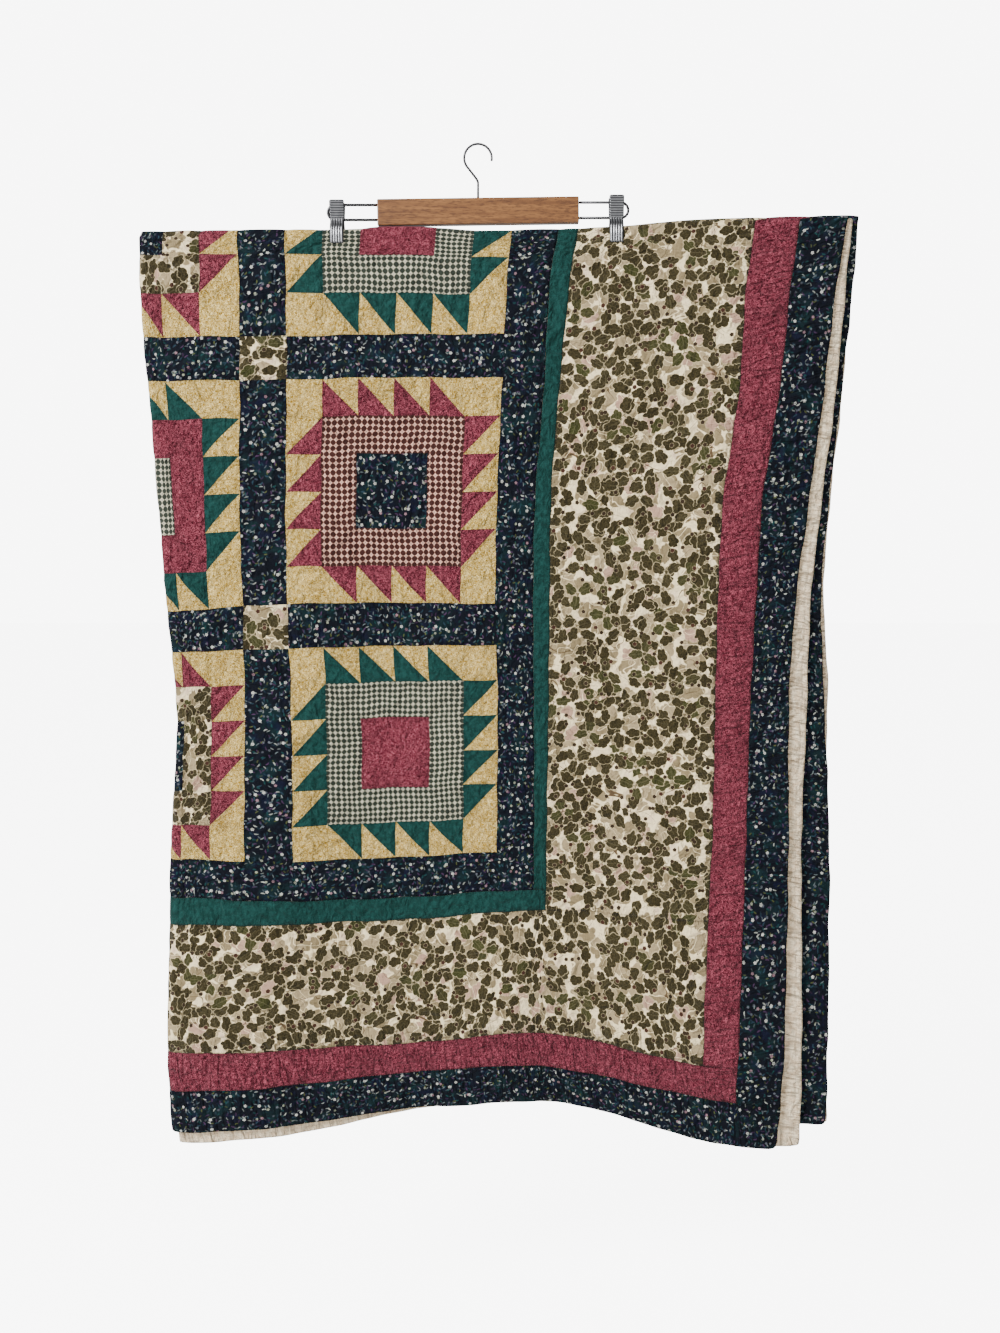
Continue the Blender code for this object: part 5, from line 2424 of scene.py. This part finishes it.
@dataclass
class Studio:
    """Pale floor, soft lights and the camera."""

    floor_height: float = -1.72
    floor_half: float = 20.0
    world_strength: float = 0.6
    seen_white: float = 8.0
    camera_place: tuple[float, float, float] = (0.0295, -1.8, -0.5442)
    pitch_down: float = 5.0
    lens: float = 35.16

    def build(self) -> None:
        """Makes the floor, the lights, the pale surroundings and the camera."""
        scene = bpy.context.scene
        mesh = bpy.data.meshes.new("floor")
        grid = bmesh.new()
        bmesh.ops.create_grid(grid, x_segments=8, y_segments=8, size=self.floor_half)
        grid.to_mesh(mesh)
        grid.free()
        mesh.materials.append(self.floor_finish())
        floor = bpy.data.objects.new("floor", mesh)
        floor.location = (0.0, 0.0, self.floor_height)
        scene.collection.objects.link(floor)
        scene.world = self.surroundings()
        self.lamp("key", (-4.2, -4.0, 2.6), (0.0, 0.0, -0.7), 2.0, 700.0)
        self.lamp("fill", (1.9, -2.6, -1.0), (0.0, 0.0, -0.9), 1.6, 16.0)
        camera = bpy.data.objects.new("camera", bpy.data.cameras.new("camera"))
        camera.data.lens = self.lens
        camera.location = self.camera_place
        camera.rotation_euler = (math.radians(90.0 - self.pitch_down), 0.0, 0.0)
        scene.collection.objects.link(camera)
        scene.camera = camera

    def floor_finish(self) -> bpy.types.Material:
        """Makes a pale plain floor that the camera sees as white as the background.

        Returns:
            Its material.
        """
        pale = bpy.data.materials.new("floor_pale")
        pale.use_nodes = True
        w = Wiring(pale.node_tree)
        seen = w.out(w.add("ShaderNodeLightPath"), "Is Camera Ray")
        w.put(
            pale.node_tree.nodes["Principled BSDF"],
            Base_Color=(0.86, 0.86, 0.86, 1.0),
            Roughness=0.9,
            Emission_Color=(1.0, 1.0, 1.0, 1.0),
            Emission_Strength=seen * (self.seen_white - 1.0),
        )
        return pale

    def surroundings(self) -> bpy.types.World:
        """Makes white surroundings, brighter to the camera than as a light.

        Returns:
            The world.
        """
        world = bpy.data.worlds.new("studio")
        world.use_nodes = True
        w = Wiring(world.node_tree)
        seen = w.out(w.add("ShaderNodeLightPath"), "Is Camera Ray")
        extra = self.seen_white - self.world_strength
        strength = w.math("MULTIPLY_ADD", seen, extra, self.world_strength)
        ground = world.node_tree.nodes["Background"]
        w.put(ground, Color=(1.0, 1.0, 1.0, 1.0), Strength=strength)
        return world

    def lamp(
        self,
        name: str,
        place: tuple[float, float, float],
        target: tuple[float, float, float],
        size: float,
        power: float,
    ) -> None:
        """Adds one soft area light.

        Args:
            name: its name.
            place: where it stands, in metres.
            target: where it points.
            size: side of its square.
            power: its watts.
        """
        data = bpy.data.lights.new(name, "AREA")
        data.size = size
        data.energy = power
        lamp = bpy.data.objects.new(name, data)
        lamp.location = place
        x, y, z = np.array(target) - np.array(place)
        lamp.rotation_euler = (math.atan2(math.hypot(x, y), -z), 0.0, math.atan2(y, x) - QUARTER)
        bpy.context.scene.collection.objects.link(lamp)


def clear_scene() -> None:
    """Removes what the scene starts with."""
    for obj in list(bpy.data.objects):
        bpy.data.objects.remove(obj, do_unlink=True)


def main(frame: dict) -> None:
    """Builds the studio, the hanger and the quilt.

    Args:
        frame: the frame as loaded, with its nodes by name.
    """
    logging.basicConfig(level=logging.INFO, format="%(name)s: %(message)s")
    Studio().build()
    Hanger(frame).build()
    cottons = Dyer(GroupMaker()).all_cottons()
    Quilt(SheetBuilder(FoldedCloth(), Patchwork(), cottons)).build()


if __name__ == "__main__":
    clear_scene()
    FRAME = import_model()
    main(FRAME)
